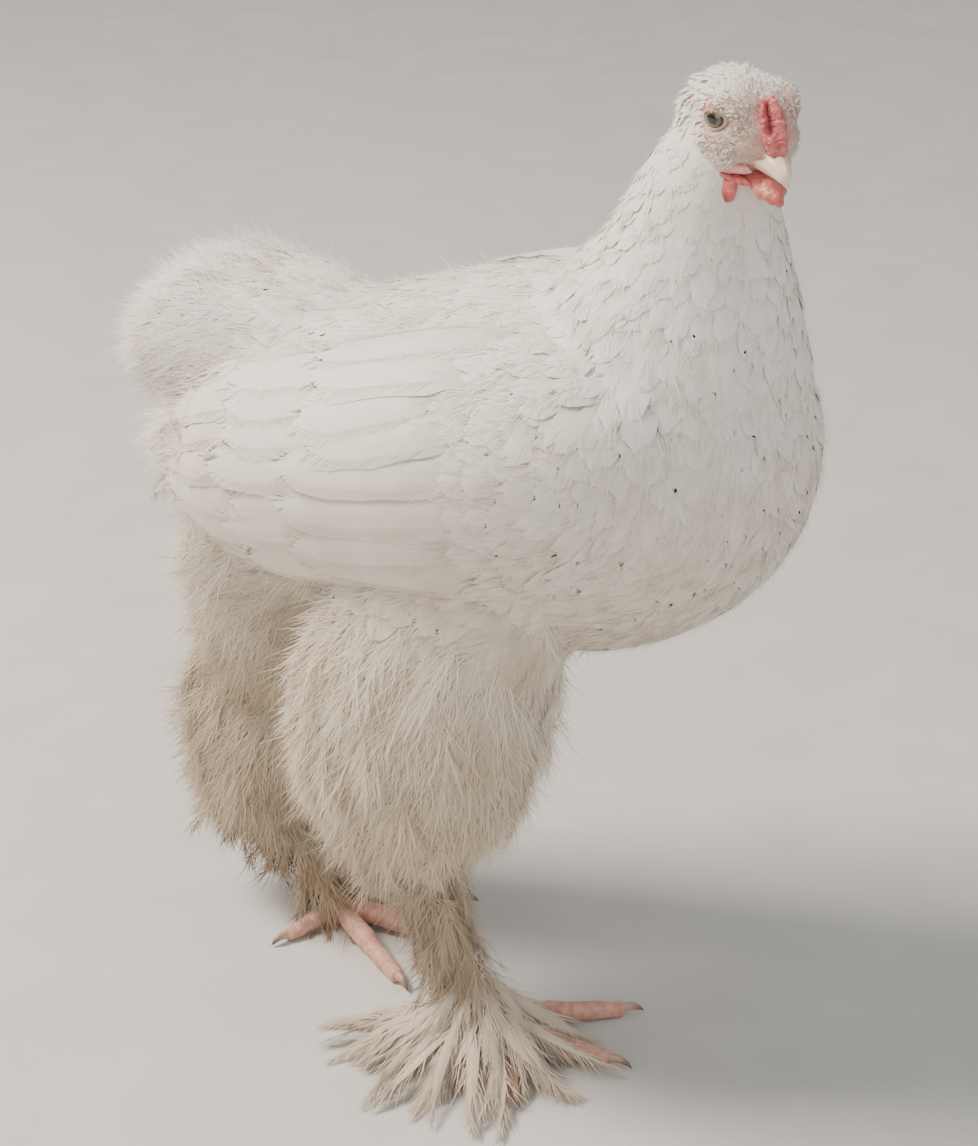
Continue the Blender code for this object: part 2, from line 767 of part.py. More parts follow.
def brow(side):
    """The heavy brow over one eye."""
    table = []
    for ahead, across, up, half, above, below in (
        (-6, 16.5, 17.5, 5, 5, 5),
        (4, 17.5, 19.5, 6, 5, 5),
        (14, 17.0, 19.5, 6, 5, 4.5),
        (21, 14.5, 17.0, 4.6, 4.5, 4.5),
    ):
        table.append((ahead, *on_head(side * across, ahead, up), half, above, below))
    ends = (on_head(side * 15, -12, 15), on_head(side * 12.6, 26.5, 13.5))
    return Loft(table, ends, 7, 5, tuple(head_axes()[0]))


def lid_ring(side):
    """The lids round one eye, a little taller behind than in front."""
    across, ahead, up = EYE_PLACE
    places = []
    for i in range(LID_STEPS):
        turn = 2 * math.pi * i / LID_STEPS
        c, s = math.cos(turn), math.sin(turn)
        for out, away in ((5.3, 5.9), (7.2, 4.4), (8.0, 1.0), (5.3, 1.8)):
            places.append(on_head(side * (across + away), ahead + c * out * 1.04, up + s * out * 0.92))
    bm = bmesh.new()
    verts = [bm.verts.new(row(place)) for place in places]
    for i in range(LID_STEPS):
        j = (i + 1) % LID_STEPS
        for k in range(4):
            m = (k + 1) % 4
            bm.faces.new((verts[4 * i + k], verts[4 * j + k], verts[4 * j + m], verts[4 * i + m]))
    return mesh_object("lid", bm)


def gape(side):
    """The soft fold at one corner of the mouth."""
    table = []
    for ahead, across, up, half, above, below in (
        (8, 15.5, -13, 3.2, 2.6, 3),
        (16, 12.5, -11.5, 3.4, 2.8, 3),
        (25, 9.2, -10, 2.4, 2.0, 2.4),
    ):
        table.append((ahead, *on_head(side * across, ahead, up), half, above, below))
    ends = (on_head(side * 17, 4, -14), on_head(side * 8, 29, -9.5))
    return Loft(table, ends, 6, 4, tuple(head_axes()[0]))


def nostril(side):
    """The opening of one nostril, cut into the upper beak."""
    return ball("nostril", on_head(side * 6.4, 32.5, -1.0), (1.7, 2.6, 1.3), 6, 5)


def comb_piece(grow=0.0):
    """The comb as one closed form, its front raised into three low rows of knobs."""
    keys = np.linspace(COMB.keys[0], COMB.keys[-1], 2 * COMB_KNOBS + 3)
    rings = []
    for i, key in enumerate(keys):
        ring = []
        for angle in range(0, 360, 30):
            row_share = {90: 1.0, 30: 0.8, 150: 0.8, 60: -0.5, 120: -0.5}.get(angle, 0.0)
            swell = 1.0 if i % 2 else -0.7
            lift = 0.9 * row_share + 0.9 * swell * max(row_share, 0.0)
            ring.append(COMB.at(key, angle, lift + grow))
        rings.append(ring)
    return closed_rings("comb", rings, COMB.grown(grow).grown_tips())


def wattle_folds(side):
    """The folds of one wattle: two lobes, one behind the other."""
    front, back = [], []
    for drop, half, reach in ((-15, 2.2, 4), (-24, 2.8, 5.4), (-31, 2.0, 3.6)):
        front.append((-drop, *on_head(side * 11.2, 22, drop + 2), half, reach, reach))
        back.append((-drop, *on_head(side * 14.4, 9, drop + 3), half, reach, reach))
    across = tuple(head_axes()[0])
    first = Loft(front, (on_head(side * 10, 21, -9), on_head(side * 11.2, 22, -31.5)), 7, 5, across)
    second = Loft(back, (on_head(side * 14, 10, -8), on_head(side * 14.4, 9, -30.5)), 7, 5, across)
    return [first, second]


def ground():
    """The space below the floor, cut from whatever stands on it."""
    return slab("ground", (-300, -300, -60), (300, 300, SOLE))


def leg_name(side):
    """The side's name as it is used in the sub-parts' names."""
    return "right" if side == RIGHT else "left"


def build():
    """Every sub-part, each cut clear of the ones it meets."""
    for obj in list(bpy.data.objects):
        bpy.data.objects.remove(obj)
    feathers = material("feathers", (0.78, 0.73, 0.68), 0.75)
    fluff = material("fluff", (0.72, 0.65, 0.58), 0.8)
    red = material("comb_skin", (0.62, 0.12, 0.14), 0.45)
    horn = material("beak_horn", (0.74, 0.55, 0.46), 0.4)
    scales = material("foot_scales", (0.66, 0.40, 0.32), 0.5)
    iris = material("eye", (0.20, 0.18, 0.10), 0.1)
    claw = material("claw_horn", (0.52, 0.42, 0.34), 0.4)

    draw = random.Random(SEED)
    sides = (RIGHT, LEFT)

    node("torso", [TORSO.piece("torso")], [], feathers)
    soft = [form for side in sides for form in (wattle(side), *wattle_folds(side))]
    bare = soft + [earlobe(side) for side in sides]
    cut = [form.grown().piece("cutter") for form in bare + [BEAK_UPPER, BEAK_LOWER]]
    cut.append(comb_piece(GAP))
    cut += [eye_ball(side, GAP) for side in sides]
    pieces = [HEAD.piece("head")] + [brow(side).piece("brow") for side in sides]
    pieces += [lid_ring(side) for side in sides] + [gape(side).piece("gape") for side in sides]
    node("head", pieces, cut, feathers)
    under = [TORSO, HEAD, BEAK_LOWER] + [gape(side) for side in sides]
    cut = [form.grown().piece("cutter") for form in bare + under]
    node("neck", [NECK.piece("neck")], cut, feathers)
    node("comb", [comb_piece()], [BEAK_UPPER.grown().piece("cutter")], red)
    node("beak_upper", [BEAK_UPPER.piece("beak")], [nostril(side) for side in sides], horn)
    node("beak_lower", [BEAK_LOWER.piece("beak")], [BEAK_UPPER.grown().piece("cutter")], horn)

    cut = [form.grown().piece("cutter") for form in (TORSO, THIGH[RIGHT], THIGH[LEFT])]
    pieces = [ABDOMEN.piece("abdomen")] + lock_rows(ABDOMEN, ABDOMEN_ROWS, draw)
    node("abdomen", pieces, cut, fluff)
    pieces = [CUSHION.piece("cushion")] + lock_rows(CUSHION, CUSHION_ROWS, draw)
    node("cushion", pieces, [TORSO.grown().piece("cutter")], fluff)
    cut = [form.grown().piece("cutter") for form in (TORSO, CUSHION, ABDOMEN)]
    node("tail", [TAIL.piece("tail")] + tail_feathers(draw), cut, feathers)

    for side in sides:
        name = leg_name(side)
        node("eye_" + name, [eye_ball(side)], [], iris)
        pieces = [form.piece("wattle") for form in (wattle(side), *wattle_folds(side))]
        node("wattle_" + name, pieces, [BEAK_LOWER.grown().piece("cutter")], red)
        node("earlobe_" + name, [earlobe(side).piece("lobe")], [], red)
        cut = [TORSO.grown().piece("cutter"), SHANK[side].grown().piece("cutter")]
        pieces = [THIGH[side].piece("thigh")] + lock_rows(THIGH[side], THIGH_ROWS[side], draw)
        node("thigh_" + name, pieces, cut, fluff)
        near = (TORSO, NECK, CUSHION, ABDOMEN, THIGH[side], TAIL)
        cut = [form.grown().piece("cutter") for form in near]
        node("wing_" + name, [wing_shell(side)] + wing_vanes(side, draw), cut, feathers)
        claws = [claw_loft(side, toe) for toe in TOES[side]]
        cut = [form.grown().piece("cutter") for form in claws + [SHANK[side]]] + [ground()]
        toes = [toe_loft(side, toe)[0].piece("toe") for toe in TOES[side]]
        place = (*(FOOT_RIGHT if side == RIGHT else FOOT_LEFT), 15)
        sole = ball("sole", place, (14, 14, 15.6), 12, 8)
        node("foot_" + name, [sole] + toes + foot_feathers(side, draw), cut, scales)
        pieces = [SHANK[side].piece("shank")] + lock_rows(SHANK[side], SHANK_ROWS[side], draw)
        node("shank_" + name, pieces, [], fluff)
        for toe, form in zip(TOES[side], claws):
            node("claw_" + toe + "_" + name, [form.piece("claw")], [], claw)


build()
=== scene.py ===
"""The looks of a young white Brahma hen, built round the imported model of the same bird.

Places on the body are written as (x, f, z) in millimetres, where x is the bird's left, f is
forwards from the hips and z is up from the floor; the model itself is in metres and faces -Y.
"""
import logging
import math
from dataclasses import dataclass, field, fields
from enum import Enum
from typing import Callable, Sequence

import bpy
import numpy as np
from mathutils import Matrix

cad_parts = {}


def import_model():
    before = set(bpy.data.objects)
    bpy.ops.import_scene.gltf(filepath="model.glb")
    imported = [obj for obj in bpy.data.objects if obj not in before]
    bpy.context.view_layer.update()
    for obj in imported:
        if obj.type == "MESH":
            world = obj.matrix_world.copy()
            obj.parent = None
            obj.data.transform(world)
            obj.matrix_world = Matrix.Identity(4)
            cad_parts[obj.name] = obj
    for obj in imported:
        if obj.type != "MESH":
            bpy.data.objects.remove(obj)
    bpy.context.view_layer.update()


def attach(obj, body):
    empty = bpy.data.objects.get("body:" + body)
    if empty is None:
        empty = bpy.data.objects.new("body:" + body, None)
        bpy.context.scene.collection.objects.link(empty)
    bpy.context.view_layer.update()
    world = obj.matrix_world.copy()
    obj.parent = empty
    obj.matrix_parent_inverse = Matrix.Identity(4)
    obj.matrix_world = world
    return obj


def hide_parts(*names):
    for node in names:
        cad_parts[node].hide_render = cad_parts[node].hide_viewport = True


log = logging.getLogger("hen")

MM = 0.001
BODY_TO_ROW = np.array((MM, -MM, MM))
UP = np.array((0.0, 0.0, 1.0))
PHOTO_SIZE = (978, 1146)
SEED = 7
PATCH = 0.003  # side of one feather's patch on the unwrap
GROUND_GAP = 0.0004  # lowest height of the coat
SHAFT = 0.01  # half width of a vane's middle column, as a share
STEPS = np.array((0.0, 0.5, 1.0))  # places along a barb
RIBBON = np.array(((0, 3, 1), (0, 2, 3), (2, 4, 3)))  # a barb's triangles
RIBBON_SIZE = 5  # a barb's places


class Side(Enum):
    """The two sides of the bird, by the sign of x."""

    RIGHT = -1.0
    LEFT = 1.0

    @property
    def word(self) -> str:
        """The side's name, as the model's nodes have it."""
        return self.name.lower()


def to_row(places: np.ndarray) -> np.ndarray:
    """Turns body places in millimetres into the model's frame in metres."""
    return np.asarray(places, float) * BODY_TO_ROW


def turn_row(directions: np.ndarray) -> np.ndarray:
    """Turns body directions into the model's frame, at length one."""
    return unit(np.asarray(directions, float) * np.array((1.0, -1.0, 1.0)))


def unit(vectors: np.ndarray) -> np.ndarray:
    """Scales vectors to length one."""
    vectors = np.asarray(vectors, float)
    return vectors / np.maximum(np.linalg.norm(vectors, axis=-1, keepdims=True), 1e-12)


def srgb(code: str) -> tuple[float, float, float, float]:
    """Turns six hexadecimal digits, as read off a screen, into linear colour and an alpha of 1."""
    parts = [int(code[i:i + 2], 16) / 255 for i in (0, 2, 4)]
    linear = [p / 12.92 if p <= 0.04045 else ((p + 0.055) / 1.055) ** 2.4 for p in parts]
    return (*linear, 1.0)


def blend(low: float, high: float, at: np.ndarray) -> np.ndarray:
    """Steps smoothly from 0 at one value to 1 at another, either way round."""
    share = np.clip((np.asarray(at, float) - low) / (high - low), 0.0, 1.0)
    return share * share * (3 - 2 * share)


def bell(at: np.ndarray, width: float) -> np.ndarray:
    """Reads the bump exp(-(at / width)^2)."""
    return np.exp(-((at / width) ** 2))


def spots(places: np.ndarray, table: Sequence[tuple]) -> np.ndarray:
    """Reads round bumps in space.

    Args:
        places: (..., 3) places.
        table: (place, radius, height) of each bump, as five numbers.

    Returns:
        (bumps, ...) values: height * exp(-(distance / radius)^2) of each.
    """
    return np.stack([height * bell(np.linalg.norm(places - np.array(at), axis=-1), radius)
                     for *at, radius, height in table])


def hermite(keys: np.ndarray, values: np.ndarray, at: np.ndarray) -> np.ndarray:
    """Reads a smooth curve through values given at keys.

    Between two keys the curve is the cubic with the values and slopes of both ends, where each
    slope is taken from the neighbouring keys.

    Args:
        keys: (K,) rising keys.
        values: (K, C) values at the keys.
        at: (N,) keys to read at.

    Returns:
        (N, C) values.
    """
    slopes = np.gradient(values, keys, axis=0)
    i = np.clip(np.searchsorted(keys, at) - 1, 0, len(keys) - 2)
    span = (keys[i + 1] - keys[i])[:, None]
    t = ((at - keys[i])[:, None]) / span
    return (
        (2 * t**3 - 3 * t**2 + 1) * values[i]
        + (t**3 - 2 * t**2 + t) * span * slopes[i]
        + (3 * t**2 - 2 * t**3) * values[i + 1]
        + (t**3 - t**2) * span * slopes[i + 1]
    )


def noise(places: np.ndarray, size: float, seed: int = 0) -> np.ndarray:
    """Reads smooth random values in space.

    Every corner of a lattice has a random value, mixed from its three indices with large primes,
    and the values of the eight corners round a place are blended by smooth steps.

    Args:
        places: (..., 3) places in metres.
        size: The lattice's step in metres.
        seed: Which lattice to read.

    Returns:
        (...) values between -1 and 1.
    """
    scaled = np.asarray(places, float) / size + 37.7 * (seed + 1)
    cell = np.floor(scaled).astype(np.int64)
    part = scaled - cell
    part = part * part * (3 - 2 * part)
    total = np.zeros(scaled.shape[:-1])
    for corner in range(8):
        bits = np.array(((corner >> 0) & 1, (corner >> 1) & 1, (corner >> 2) & 1))
        x, y, z = np.moveaxis(cell + bits, -1, 0)
        mixed = (x * 73856093) ^ (y * 19349663) ^ (z * 83492791)
        mixed = (mixed ^ (mixed >> 13)) * 1274126177 & 0x7FFFFFFF
        value = (mixed % 65536) / 32767.5 - 1.0
        total += value * np.prod(np.where(bits, part, 1 - part), axis=-1)
    return total


def grid_faces(rows: int, cols: int, wrap: bool = False) -> np.ndarray:
    """Lists the (N, 3) triangles of a grid of places, whose rows may close on themselves."""
    i = np.arange(rows - 1)[:, None] * cols
    j = np.arange(cols if wrap else cols - 1)[None, :]
    k = (j + 1) % cols
    a, b, c, d = i + j, i + k, i + cols + k, i + cols + j
    return np.stack([a, b, c, a, c, d], axis=-1).reshape(-1, 3)


def ring_faces(rings: int, sides: int) -> np.ndarray:
    """Lists the triangles of rings whose two end points come after the rings' own places."""
    j = np.arange(sides)
    k = (j + 1) % sides
    last, top = rings * sides, (rings - 1) * sides
    low = np.stack([np.full(sides, last), k, j], axis=-1)
    high = np.stack([np.full(sides, last + 1), top + j, top + k], axis=-1)
    return np.concatenate([grid_faces(rings, sides, wrap=True), low, high])


def repeat_faces(faces: np.ndarray, count: int, each: int) -> np.ndarray:
    """Repeats one surface's triangles for count surfaces that have each places."""
    return (faces[None] + (np.arange(count) * each)[:, None, None]).reshape(-1, 3)


def outward(places: np.ndarray, faces: np.ndarray) -> np.ndarray:
    """Turns a closed surface's triangles so that they face out.

    The sum of a . (b x c) over them is six times the volume, and negative when they face in.
    """
    a, b, c = (places[faces[:, i]] for i in range(3))
    return faces if np.einsum("ij,ij->", a, np.cross(b, c)) > 0 else faces[:, ::-1]


def around(low: float, high: float, rows: int, cols: int) -> tuple[np.ndarray, np.ndarray]:
    """Lists the keys and the angles in degrees of a (rows, cols) grid round a form."""
    keys = np.linspace(low, high, rows)[:, None] * np.ones((1, cols))
    return keys, np.arange(cols)[None, :] * 360.0 / cols * np.ones((rows, 1))


def link(name: str, data: bpy.types.ID) -> bpy.types.Object:
    """Makes an object from its data and links it into the scene."""
    obj = bpy.data.objects.new(name, data)
    bpy.context.scene.collection.objects.link(obj)
    return obj


def new_mesh(name: str, places: np.ndarray, faces: np.ndarray) -> bpy.types.Object:
    """Makes a smooth mesh object.

    Args:
        name: The object's name.
        places: (V, 3) places in metres.
        faces: (F, 3) triangles.

    Returns:
        The object, linked into the scene.
    """
    mesh = bpy.data.meshes.new(name)
    mesh.vertices.add(len(places))
    mesh.vertices.foreach_set("co", np.ascontiguousarray(places, np.float32).ravel())
    mesh.loops.add(faces.size)
    mesh.loops.foreach_set("vertex_index", np.ascontiguousarray(faces, np.int32).ravel())
    mesh.polygons.add(len(faces))
    mesh.polygons.foreach_set("loop_start", np.arange(0, faces.size, 3, dtype=np.int32))
    mesh.update(calc_edges=True)
    mesh.validate()
    mesh.polygons.foreach_set("use_smooth", np.ones(len(mesh.polygons), bool))
    return link(name, mesh)


def seat(piece: bpy.types.Object, finish: bpy.types.Material, slot: str, *nodes: str) -> None:
    """Gives a piece its material and its body, and hides the model's nodes that it replaces.

    Args:
        piece: the piece.
        finish: the material.
        slot: not used.
        *nodes: names of the model's nodes that it replaces.
    """
    piece.data.materials.append(finish)
    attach(piece, "root")
    if nodes:
        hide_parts(*nodes)


def read_rows(items: bpy.types.bpy_prop_collection, name: str, width: int,
              kind: type = np.float32) -> np.ndarray:
    """Reads one property of all items as an array with width numbers in each row."""
    values = np.empty(width * len(items), kind)
    items.foreach_get(name, values)
    return values.reshape(-1, width)


def vertex_places(obj: bpy.types.Object) -> np.ndarray:
    """Reads a mesh object's places as an (N, 3) array."""
    return read_rows(obj.data.vertices, "co", 3).astype(float)


def put_values(obj: bpy.types.Object, name: str, values: np.ndarray) -> None:
    """Writes one number at each place of a mesh, as the named attribute."""
    layer = obj.data.attributes.new(name, "FLOAT", "POINT")
    layer.data.foreach_set("value", np.ascontiguousarray(values, np.float32))


def unwrap(obj: bpy.types.Object) -> None:
    """Unwraps a skin in pieces that lie flat, as its first UV map."""
    bpy.context.view_layer.objects.active = obj
    obj.select_set(True)
    bpy.ops.object.mode_set(mode="EDIT")
    bpy.ops.mesh.select_all(action="SELECT")
    bpy.ops.uv.smart_project(angle_limit=math.radians(66), island_margin=0.002)
    bpy.ops.object.mode_set(mode="OBJECT")
    obj.select_set(False)
    obj.data.uv_layers[0].name = "OFBake"


def fuse(name: str, parts: Sequence[tuple[np.ndarray, np.ndarray]], voxel: float,
         rounds: int) -> bpy.types.Object:
    """Joins closed surfaces into one even skin and smooths it.

    Args:
        name: The skin's name.
        parts: Places and triangles of each closed surface.
        voxel: The size of the skin's faces in metres.
        rounds: How often it is smoothed.

    Returns:
        The skin.
    """
    starts = np.cumsum([0] + [len(part[0]) for part in parts[:-1]])
    faces = np.concatenate([outward(*part) + start for part, start in zip(parts, starts)])
    rough = new_mesh(name + "Rough", np.concatenate([part[0] for part in parts]), faces)
    remesh = rough.modifiers.new("fuse", "REMESH")
    remesh.mode = "VOXEL"
    remesh.voxel_size = voxel
    smooth = rough.modifiers.new("smooth", "SMOOTH")
    smooth.factor = 0.5
    smooth.iterations = rounds
    bpy.context.view_layer.update()
    graph = bpy.context.evaluated_depsgraph_get()
    mesh = bpy.data.meshes.new_from_object(rough.evaluated_get(graph))
    bpy.data.objects.remove(rough)
    mesh.name = name
    mesh.polygons.foreach_set("use_smooth", np.ones(len(mesh.polygons), bool))
    return link(name, mesh)


@dataclass
class Form:
    """A rounded form carried along a spine.

    Each station is (key, x, f, z, side, front, back) in millimetres: the spine's place, and how
    far the surface lies to both sides, in front and behind.
    """

    stations: Sequence[tuple]
    tips: tuple
    side_axis: tuple = (1.0, 0.0, 0.0)

    def __post_init__(self) -> None:
        """Turns the stations and tips to arrays in metres."""
        table = np.array(self.stations, float)
        self.keys = table[:, 0]
        self.spine = to_row(table[:, 1:4])
        self.reach = table[:, 4:7] * MM
        self.ends = to_row(np.array(self.tips))
        self.side = turn_row(np.array(self.side_axis))

    def at(self, keys: np.ndarray, angles: np.ndarray,
           lift: np.ndarray | float = 0.0) -> np.ndarray:
        """Finds places on the surface.

        Args:
            keys: Keys along the spine.
            angles: Angles in degrees, 0 towards the side axis and 90 in front.
            lift: How far off the surface to go, in metres.

        Returns:
            (..., 3) places in metres.
        """
        keys, angles = np.broadcast_arrays(np.asarray(keys, float), np.asarray(angles, float))
        shape = keys.shape
        keys, angles = keys.ravel(), np.radians(angles.ravel())
        lift = np.broadcast_to(np.asarray(lift, float), shape).ravel()
        step = 0.01 * (self.keys[-1] - self.keys[0])
        low = np.maximum(keys - step, self.keys[0])
        high = np.minimum(keys + step, self.keys[-1])
        centre, before, after = (hermite(self.keys, self.spine, at) for at in (keys, low, high))
        tangent = unit(after - before)
        side = unit(self.side - tangent * (tangent @ self.side)[:, None])
        front = np.cross(tangent, side)
        reach = np.maximum(hermite(self.keys, self.reach, keys), MM)
        c, s = np.cos(angles)[:, None], np.sin(angles)[:, None]
        depth = np.where(s > 0, reach[:, 1:2], reach[:, 2:3])
        away = unit(side * c / reach[:, 0:1] + front * s / depth)
        places = centre + side * c * reach[:, 0:1] + front * s * depth + away * lift[:, None]
        return places.reshape(*shape, 3)

    def closed(self, rings: int, sides: int, grow: float = 0.0) -> tuple[np.ndarray, np.ndarray]:
        """Builds the closed surface.

        Args:
            rings: How many rings lie along the spine.
            sides: How many places lie round each ring.
            grow: How far to move the surface outwards, in metres.

        Returns:
            Its places and its triangles.
        """
        keys = np.linspace(self.keys[0], self.keys[-1], rings)
        angles = np.arange(sides) * 360.0 / sides
        grid = self.at(keys[:, None], angles[None, :], grow)
        ends = self.ends + np.outer((-1, 1), unit(self.ends[1] - self.ends[0])) * grow
        return np.concatenate([grid.reshape(-1, 3), ends]), ring_faces(rings, sides)

    def shell(self, name: str, grid: np.ndarray) -> bpy.types.Object:
        """Makes an object of rings of places round the form, closed by its two tips."""
        places = np.concatenate([grid.reshape(-1, 3), self.ends])
        return new_mesh(name, places, outward(places, ring_faces(*grid.shape[:2])))


TORSO = Form(
    (
        (-178, 0, -178, 304, 20, 20, 26), (-166, 0, -166, 306, 42, 40, 48),
        (-138, 0, -138, 312, 66, 60, 76), (-95, 0, -95, 323, 86, 72, 96),
        (-50, 0, -50, 333, 99, 72, 100), (0, 0, 0, 341, 107, 80, 104),
        (50, 0, 50, 349, 110, 88, 116), (95, 0, 95, 357, 104, 86, 112),
        (130, 0, 130, 366, 90, 76, 95), (158, 0, 158, 376, 68, 58, 68),
        (176, 0, 176, 383, 37, 32, 38),
    ),
    ((0, -184, 303), (0, 184, 385)),
)
NECK = Form(
    (
        (0, -9, 146, 524, 25, 20, 25), (22, -7, 140, 502, 31, 28, 35),
        (46, -4, 132, 478, 38, 41, 41), (74, -1, 122, 450, 49, 60, 47),
        (104, 0, 112, 420, 68, 74, 62), (140, 0, 104, 384, 82, 80, 74),
    ),
    ((-9, 147, 532), (0, 100, 370)),
)
ABDOMEN = Form(
    (
        (0, 0, -120, 285, 62, 66, 46), (40, 2, -122, 245, 58, 58, 52),
        (80, 6, -122, 205, 50, 46, 54), (112, 12, -122, 172, 36, 30, 42),
    ),
    ((0, -112, 300), (14, -122, 150)),
)
CUSHION = Form(
    (
        (0, 0, -70, 356, 58, 44, 44), (40, 0, -104, 368, 62, 52, 44),
        (75, 0, -138, 366, 60, 52, 48), (105, 0, -166, 357, 51, 45, 42),
        (128, 0, -187, 348, 36, 32, 29), (142, 0, -201, 342, 18, 17, 15),
    ),
    ((0, -54, 350), (0, -209, 339)),
)
TAIL = Form(
    (
        (0, 0, -122, 332, 34, 18, 20), (30, 0, -144, 312, 36, 15, 16),
        (60, 0, -167, 289, 30, 10, 11), (100, 0, -194, 259, 24, 6, 6),
    ),
    ((0, -108, 344), (0, -202, 252)),
)
THIGHS = {
    Side.RIGHT: Form(
        (
            (0, -60, 36, 300, 46, 60, 70), (45, -70, 28, 256, 44, 66, 76),
            (85, -74, 20, 216, 42, 65, 80), (125, -71, 10, 177, 39, 60, 82),
            (155, -65, 4, 147, 34, 47, 74), (180, -59, 2, 120, 26, 28, 52),
        ),
        ((-58, 38, 312), (-57, 2, 105)),
    ),
    Side.LEFT: Form(
        (
            (0, 60, 0, 300, 46, 58, 60), (50, 64, -32, 256, 45, 56, 62),
            (103, 54, -70, 212, 44, 54, 68), (154, 38, -104, 170, 43, 46, 79),
            (198, 24, -130, 132, 41, 38, 74), (234, 16, -140, 97, 34, 30, 62),
            (264, 11, -148, 68, 22, 20, 46),
        ),
        ((58, 8, 312), (8, -158, 52)),
    ),
}
FEET = {Side.RIGHT: (-45.0, 30.0), Side.LEFT: (17.0, -105.0)}
HOCKS = {Side.RIGHT: (-57.0, 3.0, 112.0), Side.LEFT: (13.0, -142.0, 82.0)}


def shank_form(side: Side) -> Form:
    """Builds one lower leg's form, from the hock straight down to the foot."""
    hock = np.array(HOCKS[side])
    low = np.array((FEET[side][0], FEET[side][1] - 3, 20.0))
    reaches = ((13, 14, 16), (13, 14, 16), (12, 13, 15), (11, 12, 13), (11, 12, 12))
    shares = [i / (len(reaches) - 1) for i in range(len(reaches))]
    stations = [(share * 100, *(hock + (low - hock) * share), *reach)
                for share, reach in zip(shares, reaches)]
    return Form(stations, (hock - (low - hock) * 0.06, low + (low - hock) * 0.08))


SHANKS = {side: shank_form(side) for side in Side}


@dataclass(frozen=True)
class HeadFrame:
    """The head's own place and directions: side is its left, then ahead, then up."""

    centre: tuple = (-10.0, 150.0, 522.0)
    yaw: float = math.radians(37)
    pitch: float = math.radians(6)

    def axes(self) -> np.ndarray:
        """Returns the side, ahead and up directions as rows of body directions."""
        side = np.array((math.cos(self.yaw), math.sin(self.yaw), 0.0))
        level = np.array((-math.sin(self.yaw), math.cos(self.yaw), 0.0))
        ahead = level * math.cos(self.pitch) - UP * math.sin(self.pitch)
        return np.stack([side, ahead, level * math.sin(self.pitch) + UP * math.cos(self.pitch)])

    def body(self, places: np.ndarray) -> np.ndarray:
        """Turns head places in millimetres into body places."""
        return np.array(self.centre) + np.asarray(places, float) @ self.axes()

    def row(self, places: np.ndarray) -> np.ndarray:
        """Turns head places in millimetres into the model's frame."""
        return to_row(self.body(places))

    def local(self, places: np.ndarray) -> np.ndarray:
        """Turns places of the model's frame back into head places in millimetres."""
        return (np.asarray(places, float) / BODY_TO_ROW - np.array(self.centre)) @ self.axes().T

    def folded(self, places: np.ndarray) -> np.ndarray:
        """Turns places into head places with both sides folded onto the left one."""
        local = self.local(places)
        return np.stack([np.abs(local[..., 0]), local[..., 1], local[..., 2]], axis=-1)

    def hung(self, stations: Sequence[tuple], tips: Sequence[tuple]) -> Form:
        """Builds a form through head places.

        Args:
            stations: (key, side, ahead, up, half width, front, back) for each station.
            tips: The head places of both ends.

        Returns:
            The form.
        """
        table = [(row[0], *self.body(row[1:4]), *row[4:7]) for row in stations]
        return Form(table, tuple(self.body(tip) for tip in tips), tuple(self.axes()[0]))

    def form(self, stations: Sequence[tuple], tips: Sequence[tuple]) -> Form:
        """Builds a form in the head's middle plane.

        Args:
            stations: (ahead, up, half width, above, below) for each station.
            tips: (ahead, up) of both ends.

        Returns:
            The form, with its keys ahead.
        """
        return self.hung([(row[0], 0, *row) for row in stations], [(0, *tip) for tip in tips])


HEAD_FRAME = HeadFrame()
HEAD = HEAD_FRAME.form(
    (
        (-28, 0, 10, 11, 12), (-23, 0, 16, 17, 19), (-12, 0, 21, 23, 24), (0, 0, 23, 25.5, 24),
        (12, 0, 23, 26, 21), (20, 0, 20, 24, 18), (26, -1, 15, 18, 14), (30, -3, 9, 11, 9),
    ),
    ((-31, -1), (32, -4)),
)
BEAK_UPPER = HEAD_FRAME.form(
    ((20, -5, 9.5, 8, 5.5), (30, -4, 8, 7, 5.5), (39, -4.5, 5.6, 5.4, 5),
     (45, -6.5, 3.4, 3.6, 3.6)),
    ((16, -5), (49.5, -10)),
)
BEAK_LOWER = HEAD_FRAME.form(
    ((16, -14, 9, 3, 5), (28, -15.5, 7, 3, 6), (37, -17, 5, 3, 6), (42.5, -18.5, 3, 2.6, 4)),
    ((12, -13), (46, -19.5)),
)
COMB = HEAD_FRAME.hung(
    (
        (0, 0, 22.2, 22.6, 2.8, 2.0, 5), (7, 0, 26.0, 18.4, 4.6, 3.4, 6),
        (16, 0, 29.8, 12.5, 5.8, 4.2, 6), (25, 0, 32.8, 5.6, 5.8, 4.0, 6),
        (31, 0, 36.0, 1.4, 4.2, 2.8, 4),
    ),
    ((0, 20.0, 23.6), (0, 40.5, -1.6)),
)


